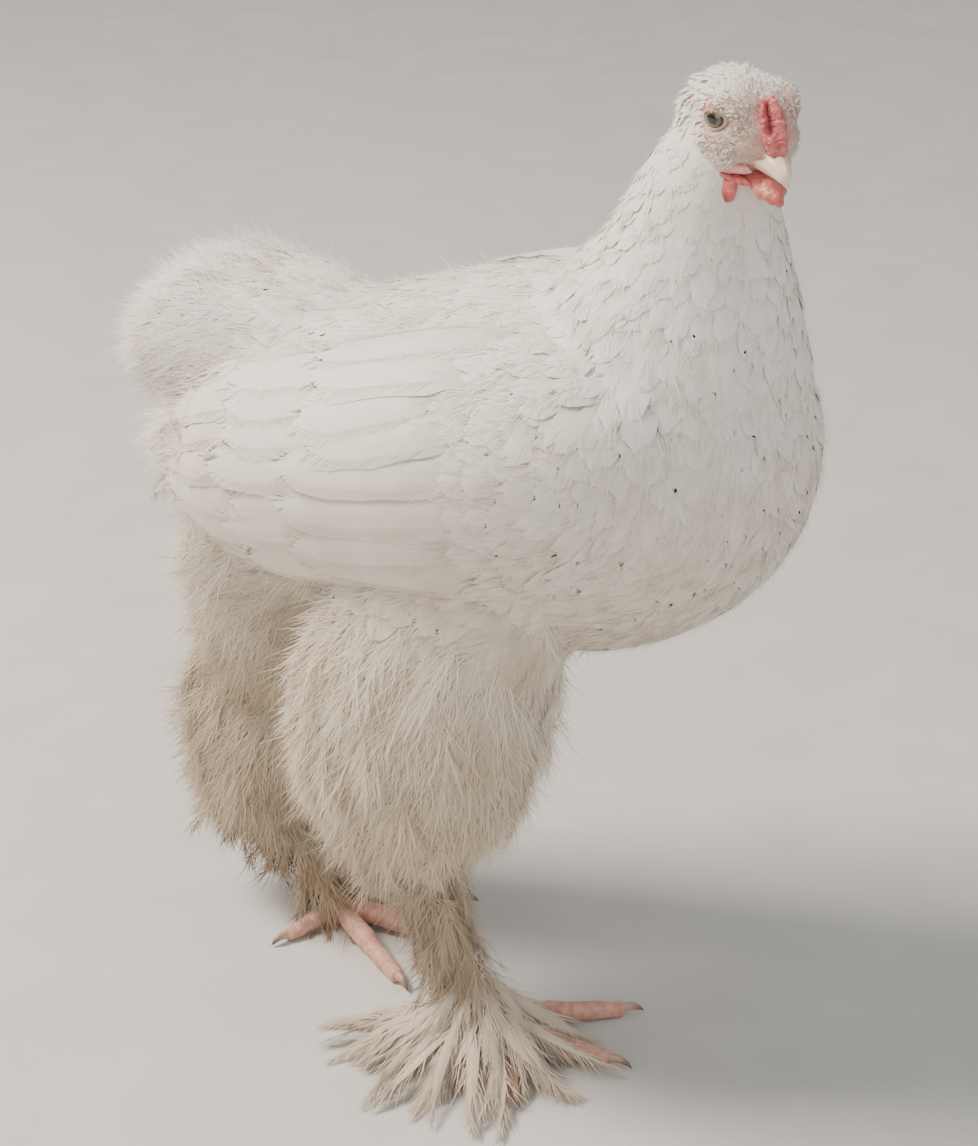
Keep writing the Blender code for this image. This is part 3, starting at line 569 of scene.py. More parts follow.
@dataclass(frozen=True)
class WingShape:
    """The folded wing over the torso: (key, top angle, bottom angle, greatest height in mm)."""

    outline: tuple = (
        (146, 150, 174, 3), (134, 143, 188, 8), (106, 134, 200, 12), (60, 128, 205, 14),
        (0, 126, 206, 15), (-50, 128, 206, 15), (-90, 136, 207, 14), (-116, 148, 208, 12),
        (-128, 168, 206, 8),
    )
    rows: int = 30
    cols: int = 22
    depth: float = -0.012

    def limits(self, keys: np.ndarray) -> np.ndarray:
        """Reads the top angle, the bottom angle and the greatest height in millimetres."""
        table = np.array(self.outline, float)
        return hermite(-table[:, 0], table[:, 1:], -np.ravel(keys)).reshape(*np.shape(keys), 3)

    def within(self, keys: np.ndarray) -> np.ndarray:
        """Keeps keys within the outline's."""
        return np.clip(keys, self.outline[-1][0], self.outline[0][0])

    def lift(self, keys: np.ndarray, angles: np.ndarray) -> np.ndarray:
        """Finds the wing's height over the torso: half a sine wave to the power 0.6 across it.

        Args:
            keys: Keys along the torso.
            angles: Angles on the right side of the torso.

        Returns:
            Heights in millimetres.
        """
        top, bottom, lift = np.moveaxis(self.limits(keys), -1, 0)
        share = np.clip((angles - top) / (bottom - top) * 0.86 + 0.05, 0.0, 1.0)
        return np.maximum(lift * np.sin(np.pi * share) ** 0.6, 1.5)

    def core(self, side: Side, grow: float) -> tuple[np.ndarray, np.ndarray]:
        """Builds the wing's flesh as a closed shell over the flank.

        Args:
            side: Which wing.
            grow: How far to move its outer face outwards, in metres.

        Returns:
            Its places and its triangles.
        """
        keys = np.linspace(self.outline[0][0], self.outline[-1][0], self.rows)[:, None]
        keys = keys * np.ones((1, self.cols))
        top, bottom, _ = np.moveaxis(self.limits(keys), -1, 0)
        angles = top + (bottom - top) * np.linspace(0, 1, self.cols)[None, :]
        turned = angles if side is Side.RIGHT else 180 - angles
        outer = TORSO.at(keys, turned, np.maximum(self.lift(keys, angles) * MM + grow, 0.001))
        inner = TORSO.at(keys, turned, self.depth)
        grid = np.concatenate([outer, inner[:, ::-1]], axis=1)
        ends = np.stack([grid[0].mean(axis=0), grid[-1].mean(axis=0)])
        return np.concatenate([grid.reshape(-1, 3), ends]), ring_faces(self.rows, 2 * self.cols)


WING = WingShape()


def cell_codes(cells: np.ndarray) -> np.ndarray:
    """Gives every cell of a lattice its own number."""
    return (cells[:, 0] * 1000003 + cells[:, 1]) * 1000003 + cells[:, 2]


class Rows:
    """A dataclass of arrays that have one row for each member."""

    def pick(self, chosen: np.ndarray) -> "Rows":
        """Returns only the chosen rows of every array."""
        return type(self)(*(getattr(self, item.name)[chosen] for item in fields(self)))


@dataclass
class Roots(Rows):
    """The roots of many feathers: places, the skin's normals there and places on its unwrap."""

    places: np.ndarray
    normals: np.ndarray
    unwrap: np.ndarray


@dataclass
class Surface:
    """A mesh's places, triangles, normals and unwrap, as arrays."""

    places: np.ndarray
    faces: np.ndarray
    normals: np.ndarray
    unwrap: np.ndarray

    @classmethod
    def of(cls, obj: bpy.types.Object) -> "Surface":
        """Reads a mesh object whose first UV map is its unwrap."""
        mesh = obj.data
        mesh.calc_loop_triangles()
        normals = read_rows(mesh.vertices, "normal", 3).astype(float)
        faces = read_rows(mesh.loop_triangles, "vertices", 3, np.int32)
        loops = read_rows(mesh.loop_triangles, "loops", 3, np.int32)
        uv = read_rows(mesh.uv_layers[0].data, "uv", 2)
        return cls(vertex_places(obj), faces, normals, uv[loops])

    def scatter(self, spacing: float, draw: np.random.Generator) -> Roots:
        """Draws evenly spread places on the surface.

        Triangles are drawn by area and places in them at random. Then every cell of a lattice
        keeps one place, three times over with the lattice moved, so that none lie close.

        Args:
            spacing: The lattice's step in metres.
            draw: The random numbers.

        Returns:
            The places with their normals and their places on the unwrap.
        """
        a, b, c = (self.places[self.faces[:, i]] for i in range(3))
        area = np.linalg.norm(np.cross(b - a, c - a), axis=1) / 2
        count = int(area.sum() / spacing**2 * 5)
        chosen = draw.choice(len(area), count, p=area / area.sum())
        first = np.sqrt(draw.random(count))
        second = draw.random(count)
        share = np.stack([1 - first, first * (1 - second), first * second], axis=1)
        corners = self.faces[chosen]
        places, normals, unwrapped = (
            np.einsum("nk,nkd->nd", share, part)
            for part in (self.places[corners], self.normals[corners], self.unwrap[chosen]))
        keep = np.arange(count)
        for shift in (0.0, 0.5, 0.25):
            cell = np.floor(places[keep] / spacing + shift).astype(np.int64)
            _, firsts = np.unique(cell_codes(cell), return_index=True)
            keep = keep[np.sort(firsts)]
        return Roots(places, unit(normals), unwrapped).pick(keep)

    def heights(self, places: np.ndarray, cell: float = 0.005) -> tuple[np.ndarray, np.ndarray]:
        """Finds how high places lie over the surface, and its normals below them.

        The surface's vertices are averaged in cells. A place's height is the mean of its heights
        over the planes of the cells round it, weighted by exp(-(distance / cell)^2).

        Args:
            places: (..., 3) places near the surface.
            cell: The cells' size in metres.

        Returns:
            (...) heights in metres, zero where no cell is near, and (..., 3) normals, zero there.
        """
        own = cell_codes(np.floor(self.places / cell).astype(np.int64))
        codes, index = np.unique(own, return_inverse=True)
        count = np.bincount(index).astype(float)
        mean, normal = (np.stack([np.bincount(index, part[:, k]) for k in range(3)], axis=1)
                        for part in (self.places, self.normals))
        mean, normal = mean / count[:, None], unit(normal)
        flat = places.reshape(-1, 3)
        base = np.floor(flat / cell).astype(np.int64)
        amount, total, turned = np.zeros(len(flat)), np.zeros(len(flat)), np.zeros((len(flat), 3))
        for shift in np.indices((3, 3, 3)).reshape(3, -1).T - 1:
            wanted = cell_codes(base + shift)
            at = np.clip(np.searchsorted(codes, wanted), 0, len(codes) - 1)
            away = flat - mean[at]
            weight = (codes[at] == wanted) * count[at] * np.exp(-(away**2).sum(axis=1) / cell**2)
            amount += weight
            total += weight * (away * normal[at]).sum(axis=1)
            turned += weight[:, None] * normal[at]
        known = amount > 1e-6
        height = np.where(known, total / np.maximum(amount, 1e-6), 0.0)
        size = np.maximum(np.linalg.norm(turned, axis=1), 1e-9)[:, None]
        turned = np.where(known[:, None], turned / size, 0.0)
        return height.reshape(places.shape[:-1]), turned.reshape(places.shape)

    def nearest(self, places: np.ndarray) -> np.ndarray:
        """Finds the (N, 2) places on the unwrap of the closest triangles' first corners."""
        corner = self.places[self.faces[:, 0]].astype(np.float32)
        square = (corner**2).sum(axis=1)
        found = [int(np.argmin(square - 2 * corner @ place)) for place in places.astype(np.float32)]
        return self.unwrap[found, 0]


@dataclass
class Zone:
    """How the coat lies on one form: its direction, and its feathers' sizes in millimetres.

    The direction is given as a function of the form's keys, angles and places. The sizes are
    (key, length, half width, rise, looseness, stain), where rise is the share of the length that
    the tip stands off, and looseness is 0 for closed vanes and 1 for fluff.
    """

    form: Form
    direction: Callable
    sizes: Sequence[tuple]
    steps: tuple = (14, 20)

    def guides(self) -> tuple[np.ndarray, np.ndarray, np.ndarray]:
        """Works out places, directions and sizes of guides over the form."""
        keys = np.linspace(self.form.keys[0], self.form.keys[-1], self.steps[0])
        angles = np.linspace(0.0, 360.0, self.steps[1], endpoint=False)
        keys, angles = (grid.ravel() for grid in np.meshgrid(keys, angles, indexing="ij"))
        places = self.form.at(keys, angles)
        table = np.array(self.sizes, float)
        values = [np.interp(keys, table[:, 0], column) for column in table[:, 1:].T]
        return places, turn_row(self.direction(keys, angles, places)), np.stack(values, axis=1)


class Lie:
    """The lie of the whole coat, blended from the guides of all zones."""

    def __init__(self, zones: Sequence[Zone], reach: float = 0.012) -> None:
        """Gathers the guides of all zones.

        Args:
            zones: the zones, with their guides.
            reach: distance in metres that a guide reaches.
        """
        self.places, self.directions, self.values = (
            np.concatenate(part).astype(np.float32) for part in zip(*(z.guides() for z in zones)))
        self.reach = reach

    def read(self, places: np.ndarray) -> tuple[np.ndarray, np.ndarray]:
        """Reads the lie and the sizes at places.

        Every guide counts by exp(-d^2 / 2r^2) at a distance d, measured from the closest one, so
        that a place far from all of them still follows its closest guide.

        Args:
            places: (N, 3) places.

        Returns:
            (N, 3) directions and (N, 5) sizes.
        """
        directions, values = [], []
        for part in np.array_split(places.astype(np.float32), max(len(places) // 4000, 1)):
            square = ((part**2).sum(axis=1)[:, None] + (self.places**2).sum(axis=1)[None, :]
                      - 2 * part @ self.places.T)
            weight = np.exp(-(square - square.min(axis=1, keepdims=True)) / (2 * self.reach**2))
            weight /= weight.sum(axis=1, keepdims=True)
            directions.append(weight @ self.directions)
            values.append(weight @ self.values)
        return unit(np.concatenate(directions)), np.concatenate(values).astype(float)


def patch(roots: np.ndarray, across: np.ndarray, along: np.ndarray) -> np.ndarray:
    """Finds places in each feather's own small patch of the unwrap.

    Args:
        roots: (N, 2) places of the feathers' roots on the unwrap.
        across: (N, ...) places across the feather, from -1 to 1.
        along: (N, ...) places along it, from 0 to 1.

    Returns:
        (N, ..., 2) places on the unwrap.
    """
    across, along = np.broadcast_arrays(across, along)
    local = np.stack([across * 0.5, along - 0.5], axis=-1) * PATCH
    return np.clip(roots.reshape(len(roots), *([1] * (across.ndim - 1)), 2) + local, 0.0, 1.0)


@dataclass
class Batch:
    """Arrays of one kind of small surface, ready to be joined into a mesh."""

    places: np.ndarray
    faces: np.ndarray
    unwrap: np.ndarray
    along: np.ndarray
    tone: np.ndarray
    stain: np.ndarray

    @classmethod
    def of(cls, grid: np.ndarray, faces: np.ndarray, uv: np.ndarray, along: np.ndarray,
           tone: np.ndarray, stain: np.ndarray) -> "Batch":
        """Flattens grids of places, and repeats each feather's tone and stain over its own."""
        each = grid.size // 3 // len(tone)
        return cls(grid.reshape(-1, 3), faces, uv.reshape(-1, 2), along.ravel(),
                   np.repeat(tone, each), np.repeat(stain, each))

    @staticmethod
    def join(batches: Sequence["Batch"]) -> "Batch":
        """Joins batches into one, with their triangles renumbered."""
        starts = np.cumsum([0] + [len(batch.places) for batch in batches[:-1]])
        faces = np.concatenate([batch.faces + start for batch, start in zip(batches, starts)])
        rest = {name: np.concatenate([getattr(batch, name) for batch in batches])
                for name in ("places", "unwrap", "along", "tone", "stain")}
        return Batch(faces=faces, **rest)

    def build(self, name: str, finish: bpy.types.Material, slot: str, *nodes: str) -> None:
        """Makes a coat piece with its UV map and marks.

        Args:
            name: The piece's name.
            finish: Its material.
            slot: Not used.
            nodes: The model's nodes that it replaces.
        """
        self.places[:, 2] = np.maximum(self.places[:, 2], GROUND_GAP)
        piece = new_mesh(name, self.places, self.faces)
        corners = read_rows(piece.data.loops, "vertex_index", 1, np.int32)[:, 0]
        uv = np.ascontiguousarray(self.unwrap[corners], np.float32)
        piece.data.uv_layers.new(name="OFBake").data.foreach_set("uv", uv.ravel())
        for mark in ("along", "tone", "stain"):
            put_values(piece, mark, getattr(self, mark))
        seat(piece, finish, slot, *nodes)
        log.info("%s: %d triangles", name, len(self.faces))


@dataclass(frozen=True)
class VaneShape:
    """A closed vane: cup is a share of its half width, ragged and blunt of its length.

    cup is how far its sides bend down, ragged how uneven its tip is, blunt where the tip starts
    to close, and ridge how far the shaft stands up, in metres.
    """

    cols: int = 5
    cup: float = 0.25
    ragged: float = 0.12
    blunt: float = 0.45
    ridge: float = 0.0


@dataclass(frozen=True)
class BarbShape:
    """The free barbs of a feather.

    start is where along the shaft they begin, thick their width in metres, slant their angle to
    the shaft in degrees, loose how much their ends stray, cup how far they bend down and droop
    how far their ends fall, as shares of their length.
    """

    count: int
    start: float
    thick: float
    slant: float = 42.0
    loose: float = 0.35
    cup: float = 0.25
    droop: float = 0.0


@dataclass
class Quills(Rows):
    """The centre lines of many feathers.

    Each has the same number of places along it, with the directions outwards from the body and
    across the feather, its root on the unwrap, and its tone and stain.
    """

    line: np.ndarray
    out: np.ndarray
    across: np.ndarray
    unwrap: np.ndarray
    tone: np.ndarray
    stain: np.ndarray

    @classmethod
    def lying(cls, roots: Roots, along: np.ndarray, length: np.ndarray, rise: np.ndarray,
              stain: np.ndarray, draw: np.random.Generator, bed: Surface, rows: int, wild: float,
              sink: float = 0.0006, hug: float | np.ndarray = 1.0) -> "Quills":
        """Lays feathers on the skin from their roots.

        The line goes forward by its length, rises by rise * length * (t + t * (1 - t)) and
        bends aside with the square of t.

        Args:
            roots: Their roots.
            along: The lie of the coat at the roots.
            length: Their lengths in metres.
            rise: The share of the length that the tips stand off.
            stain: How stained they are.
            draw: The random numbers.
            bed: The skin whose curve they follow.
            rows: How many places each line has.
            wild: How much the directions vary.
            sink: How deep the roots are sunk, in metres.
            hug: How closely they follow the skin, from 0 to 1.

        Returns:
            The feathers' centre lines.
        """
        count = len(length)
        normal = roots.normals
        flat = unit(along - normal * np.einsum("ij,ij->i", along, normal)[:, None])
        across = np.cross(normal, flat)
        turn = draw.normal(0, wild, count)[:, None]
        flat = flat * np.cos(turn) + across * np.sin(turn)
        across = np.cross(normal, flat)[:, None]
        t = np.linspace(0, 1, rows)[None, :, None]
        bend = draw.normal(0, 0.10, count)[:, None, None]
        long = length[:, None, None]
        high = rise[:, None, None] * (t + t * (1 - t))
        line = roots.places[:, None] + flat[:, None] * long * t + across * (long * bend * t * t)
        out = np.broadcast_to(normal[:, None], line.shape)
        close = np.broadcast_to(np.asarray(hug, float).reshape(-1, 1, 1), line.shape)
        for _ in range(2):
            height, below = bed.heights(line)
            line = line - below * height[..., None] * close
            below = np.where(np.any(below, axis=-1, keepdims=True), below, out)
            out = unit(normal[:, None] * (1 - close) + below * close)
        line = line + out * (long * high - sink)
        sideways = unit(np.cross(out, np.gradient(line, axis=1)))
        return cls(line, out, sideways, roots.unwrap, draw.random(count), stain)

    def read(self, at: np.ndarray) -> tuple[np.ndarray, np.ndarray, np.ndarray, np.ndarray]:
        """Reads the lines between their places.

        Args:
            at: (N, K) shares of the way along each line.

        Returns:
            The places, the directions along, outwards and across there.
        """
        rows = self.line.shape[1]
        scaled = np.clip(at, 0, 1) * (rows - 1)
        low = np.clip(scaled.astype(int), 0, rows - 2)
        part = (scaled - low)[..., None]
        pick = np.arange(len(self.line))[:, None]
        step = self.line[pick, low + 1] - self.line[pick, low]
        out, across = (axis[pick, low] * (1 - part) + axis[pick, low + 1] * part
                       for axis in (self.out, self.across))
        return self.line[pick, low] + step * part, unit(step), out, across

    def vanes(self, half: np.ndarray, draw: np.random.Generator, shape: VaneShape) -> Batch:
        """Spreads a closed vane along each line.

        The half width opens at the root, and at the tip it is the square root of 1 - s^2.4,
        where s runs from 0 to 1 over the last part of the length. Columns of the vane end at
        slightly different lengths, and its sides bend down with the square of the distance
        from the shaft.

        Args:
            half: (N,) half widths in metres.
            draw: The random numbers.
            shape: The vanes' shape.

        Returns:
            The vanes' surfaces.
        """
        count, rows = self.line.shape[:2]
        cols = shape.cols
        t = np.linspace(0, 1, rows)[None, :, None]
        u = np.linspace(-1, 1, cols)[None, None, :]
        notch = 1 - shape.ragged * draw.random((count, 1, cols)) * blend(0.5, 1.0, t)
        at = np.clip(t * notch, 0, 1)
        wide = np.clip(t / 0.22, 0, 1) ** 0.6 * 0.75 + 0.25
        end = np.clip((t - shape.blunt) / (1.02 - shape.blunt), 0, 1)
        wide = wide * np.sqrt(np.clip(1 - end**2.4, 0, 1))
        wave = 1 + 0.10 * (draw.random((count, rows, cols)) - 0.5)
        place, _, out, across = (part.reshape(count, rows, cols, 3)
                                 for part in self.read(at.reshape(count, -1)))
        size = half[:, None, None] * wide
        side = size * wave * u
        ridge = shape.ridge * (np.abs(u) < SHAFT) * (1 - t)
        drop = -shape.cup * half[:, None, None] * wide * u**2 + ridge
        grid = place + across * side[..., None] + out * drop[..., None]
        faces = repeat_faces(grid_faces(rows, cols)[:, ::-1], count, rows * cols)
        spread = np.broadcast_to(t, (count, rows, cols))
        uv = patch(self.unwrap, u, spread)
        return Batch.of(grid, faces, uv, spread, self.tone, self.stain)

    def barbs(self, half: np.ndarray, draw: np.random.Generator, shape: BarbShape) -> Batch:
        """Grows thin free barbs from both sides of each line.

        A barb leaves the shaft at a slant that closes towards the tip, and runs out by
        l * (q cos a + 0.3 q^2) along and l * sin a * (q - 0.3 q^2) across, where q goes from 0
        to 1 and l is its length.

        Args:
            half: (N,) half widths that the barbs reach, in metres.
            draw: The random numbers.
            shape: The barbs' shape.

        Returns:
            The barbs' surfaces.
        """
        n, count = len(self.line), shape.count
        s = np.arange(count)[None, :] + draw.random((n, count))
        s = shape.start + (1 - shape.start) * s / count
        sign = np.where(np.arange(count) % 2, 1.0, -1.0)[None, :]
        place, along, out, across = self.read(s)
        angle = np.radians(shape.slant * (1 - 0.62 * s**1.5))
        angle = angle * (1 + 0.2 * draw.normal(0, 1, s.shape))
        swell = np.sqrt(np.clip(np.sin(np.pi * np.clip(s * 0.8 + 0.16, 0, 1)), 0.05, 1))
        long = half[:, None] * swell / np.sin(math.radians(shape.slant))
        long = long * (0.75 + 0.5 * draw.random(s.shape))
        stray = draw.normal(0, shape.loose, (n, count, 2))
        q = STEPS[None, None, :, None]
        far = long[..., None, None]
        go = far * (q * np.cos(angle)[..., None, None] + 0.3 * q * q)
        aside = (long * np.sin(angle) * sign)[..., None, None] * (q - 0.3 * q * q)
        aside = aside + far * stray[..., :1, None] * q * q * 0.5
        lift = far * (stray[..., 1:, None] * 0.6 * q * q - shape.cup * q * q)
        path = (place[:, :, None] + along[:, :, None] * go + across[:, :, None] * aside
                + out[:, :, None] * lift)
        path[..., 2] -= (long * shape.droop)[..., None] * q[..., 0] ** 2
        heading = unit(path[:, :, 1:] - path[:, :, :-1])
        heading = np.concatenate([heading, heading[:, :, -1:]], axis=2)
        flat = unit(np.cross(np.broadcast_to(out[:, :, None], heading.shape), heading))
        wide = (shape.thick / 2) * np.array((1.0, 0.8, 0.0))[None, None, :, None]
        wide = wide * (0.7 + 0.6 * draw.random((n, count, 1, 1)))
        grid = ribbon(path - flat * wide, path + flat * wide, path)
        faces = repeat_faces(RIBBON, n * count, RIBBON_SIZE)
        level = np.array((0.0, 0.0, 0.5, 0.5, 1.0))[None, None, :]
        spread = np.clip(s[..., None] * 0.7 + level * 0.3, 0, 1)
        uv = patch(self.unwrap, sign[..., None] * level * np.ones_like(spread), spread)
        return Batch.of(grid, faces, uv, spread, self.tone, self.stain)


def ribbon(left: np.ndarray, right: np.ndarray, middle: np.ndarray) -> np.ndarray:
    """Lists a barb's five places from (feathers, barbs, 3, 3) edges: two pairs and the end."""
    return np.stack([left[:, :, 0], right[:, :, 0], left[:, :, 1], right[:, :, 1],
                     middle[:, :, 2]], axis=2)


class Nodes:
    """A new material's node tree round a Principled shader, with the object's own places.

    Values are node outputs. A colour is an output or six hexadecimal digits.
    """

    def __init__(self, name: str) -> None:
        """Makes an empty material with its shader and output."""
        self.made = bpy.data.materials.new(name)
        self.made.use_nodes = True
        self.tree = self.made.node_tree
        self.tree.nodes.clear()
        self.shader = self.add("BsdfPrincipled")
        self.add("OutputMaterial", {"Surface": self.shader.outputs[0]})
        self.place = self.add("TexCoord").outputs["Object"]

    def add(self, kind: str, inputs: dict | None = None,
            **settings: object) -> bpy.types.ShaderNode:
        """Adds one node.

        Args:
            kind: The node's type without its prefix.
            inputs: Values for its inputs, by name or number.
            settings: Its other settings.

        Returns:
            The node.
        """
        node = self.tree.nodes.new("ShaderNode" + kind)
        for name, value in settings.items():
            setattr(node, name, value)
        self.fill(node, inputs or {})
        return node

    def fill(self, node: bpy.types.ShaderNode, inputs: dict) -> None:
        """Links outputs to a node's inputs and writes constants on them.

        Args:
            node: the node.
            inputs: an output or a constant for each input, by name.
        """
        for name, value in inputs.items():
            if isinstance(value, bpy.types.NodeSocket):
                self.tree.links.new(value, node.inputs[name])
            else:
                node.inputs[name].default_value = value

    def mark(self, name: str) -> bpy.types.NodeSocket:
        """Reads one of the piece's own marks."""
        return self.add("Attribute", attribute_name=name).outputs["Fac"]

    def noise(self, scale: float, detail: float) -> bpy.types.NodeSocket:
        """Reads noise with a number of waves in each metre."""
        inputs = {"Vector": self.place, "Scale": scale, "Detail": detail}
        return self.add("TexNoise", inputs).outputs["Fac"]

    def pebbles(self, size_mm: float) -> bpy.types.NodeSocket:
        """Reads the distance to the middle of the nearest pebble."""
        inputs = {"Vector": self.place, "Scale": 1000 / size_mm}
        return self.add("TexVoronoi", inputs).outputs["Distance"]

    def stretch(self, value: bpy.types.NodeSocket, *limits: float) -> bpy.types.NodeSocket:
        """Stretches a value from its two first limits to the two others."""
        return self.add("MapRange", {"Value": value, **dict(enumerate(limits, 1))}).outputs[0]

    def maths(self, operation: str, *values: bpy.types.NodeSocket) -> bpy.types.NodeSocket:
        """Joins two values by an operation."""
        return self.add("Math", dict(enumerate(values)), operation=operation).outputs[0]

    def mix(self, share: bpy.types.NodeSocket, *colours: bpy.types.NodeSocket | str
            ) -> bpy.types.NodeSocket:
        """Mixes two colours, the second by the share."""
        first, second = (srgb(part) if isinstance(part, str) else part for part in colours)
        inputs = {"Factor": share, "A": first, "B": second}
        return self.add("Mix", inputs, data_type="RGBA").outputs["Result"]

    def ramp(self, share: bpy.types.NodeSocket, *stops: tuple[float, str]) -> bpy.types.NodeSocket:
        """Runs through colours, each given with its position."""
        node = self.add("ValToRGB", {"Fac": share})
        while len(node.color_ramp.elements) < len(stops):
            node.color_ramp.elements.new(0.5)
        for element, (position, code) in zip(node.color_ramp.elements, stops):
            element.position = position
            element.color = srgb(code)
        return node.outputs["Color"]

    def finish(self, colour: bpy.types.NodeSocket, inputs: dict,
               height: bpy.types.NodeSocket | None = None, strength: float = 0.3,
               distance: float = 0.0003) -> bpy.types.Material:
        """Ends the material.

        Args:
            colour: Its colour.
            inputs: The shader's other inputs.
            height: The height of its relief, if any.
            strength: The relief's strength.
            distance: The relief's depth in metres.

        Returns:
            The material.
        """
        self.fill(self.shader, {"Base Color": colour, **inputs})
        if height:
            bump = {"Height": height, "Strength": strength, "Distance": distance}
            self.fill(self.shader, {"Normal": self.add("Bump", bump).outputs[0]})
        return self.made


def flesh_glow(weight: float, scale: float, *radius: float) -> dict:
    """Lists the shader's inputs for light that passes through flesh or horn."""
    return {"Subsurface Weight": weight, "Subsurface Radius": radius, "Subsurface Scale": scale}


@dataclass(frozen=True)
class FeatherKeratin:
    """White feather: grown keratin barbs, matt and soft, with a silky sheen and grubby ends."""

    name: str = "White_Feather_Keratin"
    # root is darker than middle and tip: painted shade where the feathers overlap at their roots
    root: str = "D6CCC2"
    middle: str = "F3EDE4"
    tip: str = "FAF6EF"
    shade: str = "E3D9CF"
    warm: str = "C6B08F"
    stain: str = "8A6745"
    stain_tip: str = "5E4229"
    roughness: float = 0.72
    sheen: float = 0.25
    stain_strength: float = 1.0
    barb_mm: float = 0.5
    patch: float = 0.03
    warm_heights: tuple = (0.41, 0.16)

    def build(self) -> bpy.types.Material:
        """Makes the material.

        Colour runs from a darker root, painted shade where the feathers overlap, to the tip of
        each feather, differs a little from one feather to the next and over the body in patches,
        turns warmer from the wings down, and turns to the stain where the feather is stained, most
        at its tip.

        Returns:
            The material.
        """
        nodes = Nodes(self.name)
        along, tone, stain = (nodes.mark(mark) for mark in ("along", "tone", "stain"))
        patches = nodes.noise(1 / self.patch, 3.0)
        shade = nodes.stretch(patches, 0.45, 0.75, 0.0, 0.5)
        odd = nodes.stretch(tone, 0.55, 1.0, 0.0, 0.45)
        # darker towards the root, along 0: painted shade where the feathers overlap
        colour = nodes.ramp(along, (0.0, self.root), (0.35, self.middle), (1.0, self.tip))
        colour = nodes.mix(nodes.maths("MAXIMUM", shade, odd), colour, self.shade)
        height = nodes.add("SeparateXYZ", {0: nodes.place}).outputs["Z"]
        ragged = nodes.maths("ADD", height, nodes.stretch(patches, 0.3, 0.7, -0.05, 0.05))
        colour = nodes.mix(nodes.stretch(ragged, *self.warm_heights, 0.0, 0.8), colour, self.warm)
        grub = nodes.maths("MULTIPLY", stain, along)
        grub = nodes.stretch(grub, 0.05, 0.75, 0.0, self.stain_strength)
        dirt = nodes.ramp(along, (0.0, self.stain), (0.55, self.stain), (1.0, self.stain_tip))
        inputs = {"Roughness": self.roughness, "Sheen Weight": self.sheen, "Sheen Roughness": 0.5,
                  "Specular IOR Level": 0.25}
        fine = nodes.noise(1000 / self.barb_mm, 2.0)
        return nodes.finish(nodes.mix(grub, colour, dirt), inputs, fine, 0.25)


@dataclass(frozen=True)
class BareSkin:
    """Living skin: soft, slightly wet-looking, with fine creases and a pebbled grain."""

    name: str
    pale: str
    deep: str
    # colour of random darker spots, and of the painted shade that the deep mark sets in the comb's
    # groove
    spot: str
    grain_mm: float = 0.9
    roughness: float = 0.42
    spot_low: float = 0.6
    bump: float = 0.0004

    def build(self) -> bpy.types.Material:
        """Makes the material: two tones in patches of 4 mm, darker random spots and a grain; where
        the piece's deep mark is set it turns to the spot colour, which on the comb is painted shade
        in the groove and between the knobs.
        """
        nodes = Nodes(self.name)
        colour = nodes.ramp(nodes.noise(250.0, 4.0), (0.35, self.deep), (0.65, self.pale))
        spots_high = self.spot_low + 0.1
        amount = nodes.stretch(nodes.noise(900.0, 3.0), self.spot_low, spots_high, 0.0, 0.8)
        colour = nodes.mix(amount, colour, self.spot)
        # the deep mark: painted shade in the comb's groove and between its knobs, random darker
        # tone on wattles, lobes and toes
        colour = nodes.mix(nodes.mark("deep"), colour, self.spot)
        inputs = {"Roughness": self.roughness, **flesh_glow(0.15, 0.6, 0.004, 0.0015, 0.001)}
        return nodes.finish(colour, inputs, nodes.pebbles(self.grain_mm), 0.6, self.bump)


@dataclass(frozen=True)
class FaceSkin:
    """The face's skin: pale pink where bare, redder at the rear of the eye and at the mouth."""

    name: str = "Face_Skin"
    pale: str = "D3B5A8"
    grey: str = "82766C"
    red: str = "CB6054"
    grain_mm: float = 0.9

    def build(self) -> bpy.types.Material:
        """Makes the material from the piece's own marks of red and of grey speckle; on the eyelids
        the speckle mark also holds painted shade on the upper lid, under the brow.
        """
        nodes = Nodes(self.name)
        level = nodes.stretch(nodes.noise(700.0, 4.0), 0.42, 0.58, 0.0, 1.0)
        level = nodes.maths("MULTIPLY", level, nodes.mark("speck"))
        colour = nodes.mix(level, self.pale, self.grey)
        colour = nodes.mix(nodes.mark("red"), colour, self.red)
        inputs = {"Roughness": 0.5, **flesh_glow(0.1, 0.5, 0.003, 0.0012, 0.0008)}
        return nodes.finish(colour, inputs, nodes.pebbles(self.grain_mm), 0.5)


@dataclass(frozen=True)
class BeakHorn:
    """Beak and claw horn: layered keratin, satin, streaked along its growth and paler at edges."""

    name: str
    pale: str
    warm: str
    dark: str
    roughness: float = 0.34

    def build(self) -> bpy.types.Material:
        """Makes the material from the piece's own share along its length, with fine streaks."""
        nodes = Nodes(self.name)
        streak = nodes.noise(500.0, 5.0)
        moved = nodes.stretch(streak, 0.3, 0.7, -0.12, 0.12)
        share = nodes.maths("ADD", nodes.mark("along"), moved)
        colour = nodes.ramp(share, (0.05, self.warm), (0.5, self.pale), (0.95, self.dark))
        inputs = {"Roughness": self.roughness, **flesh_glow(0.08, 0.4, 0.002, 0.001, 0.0008)}
        return nodes.finish(colour, inputs, streak)


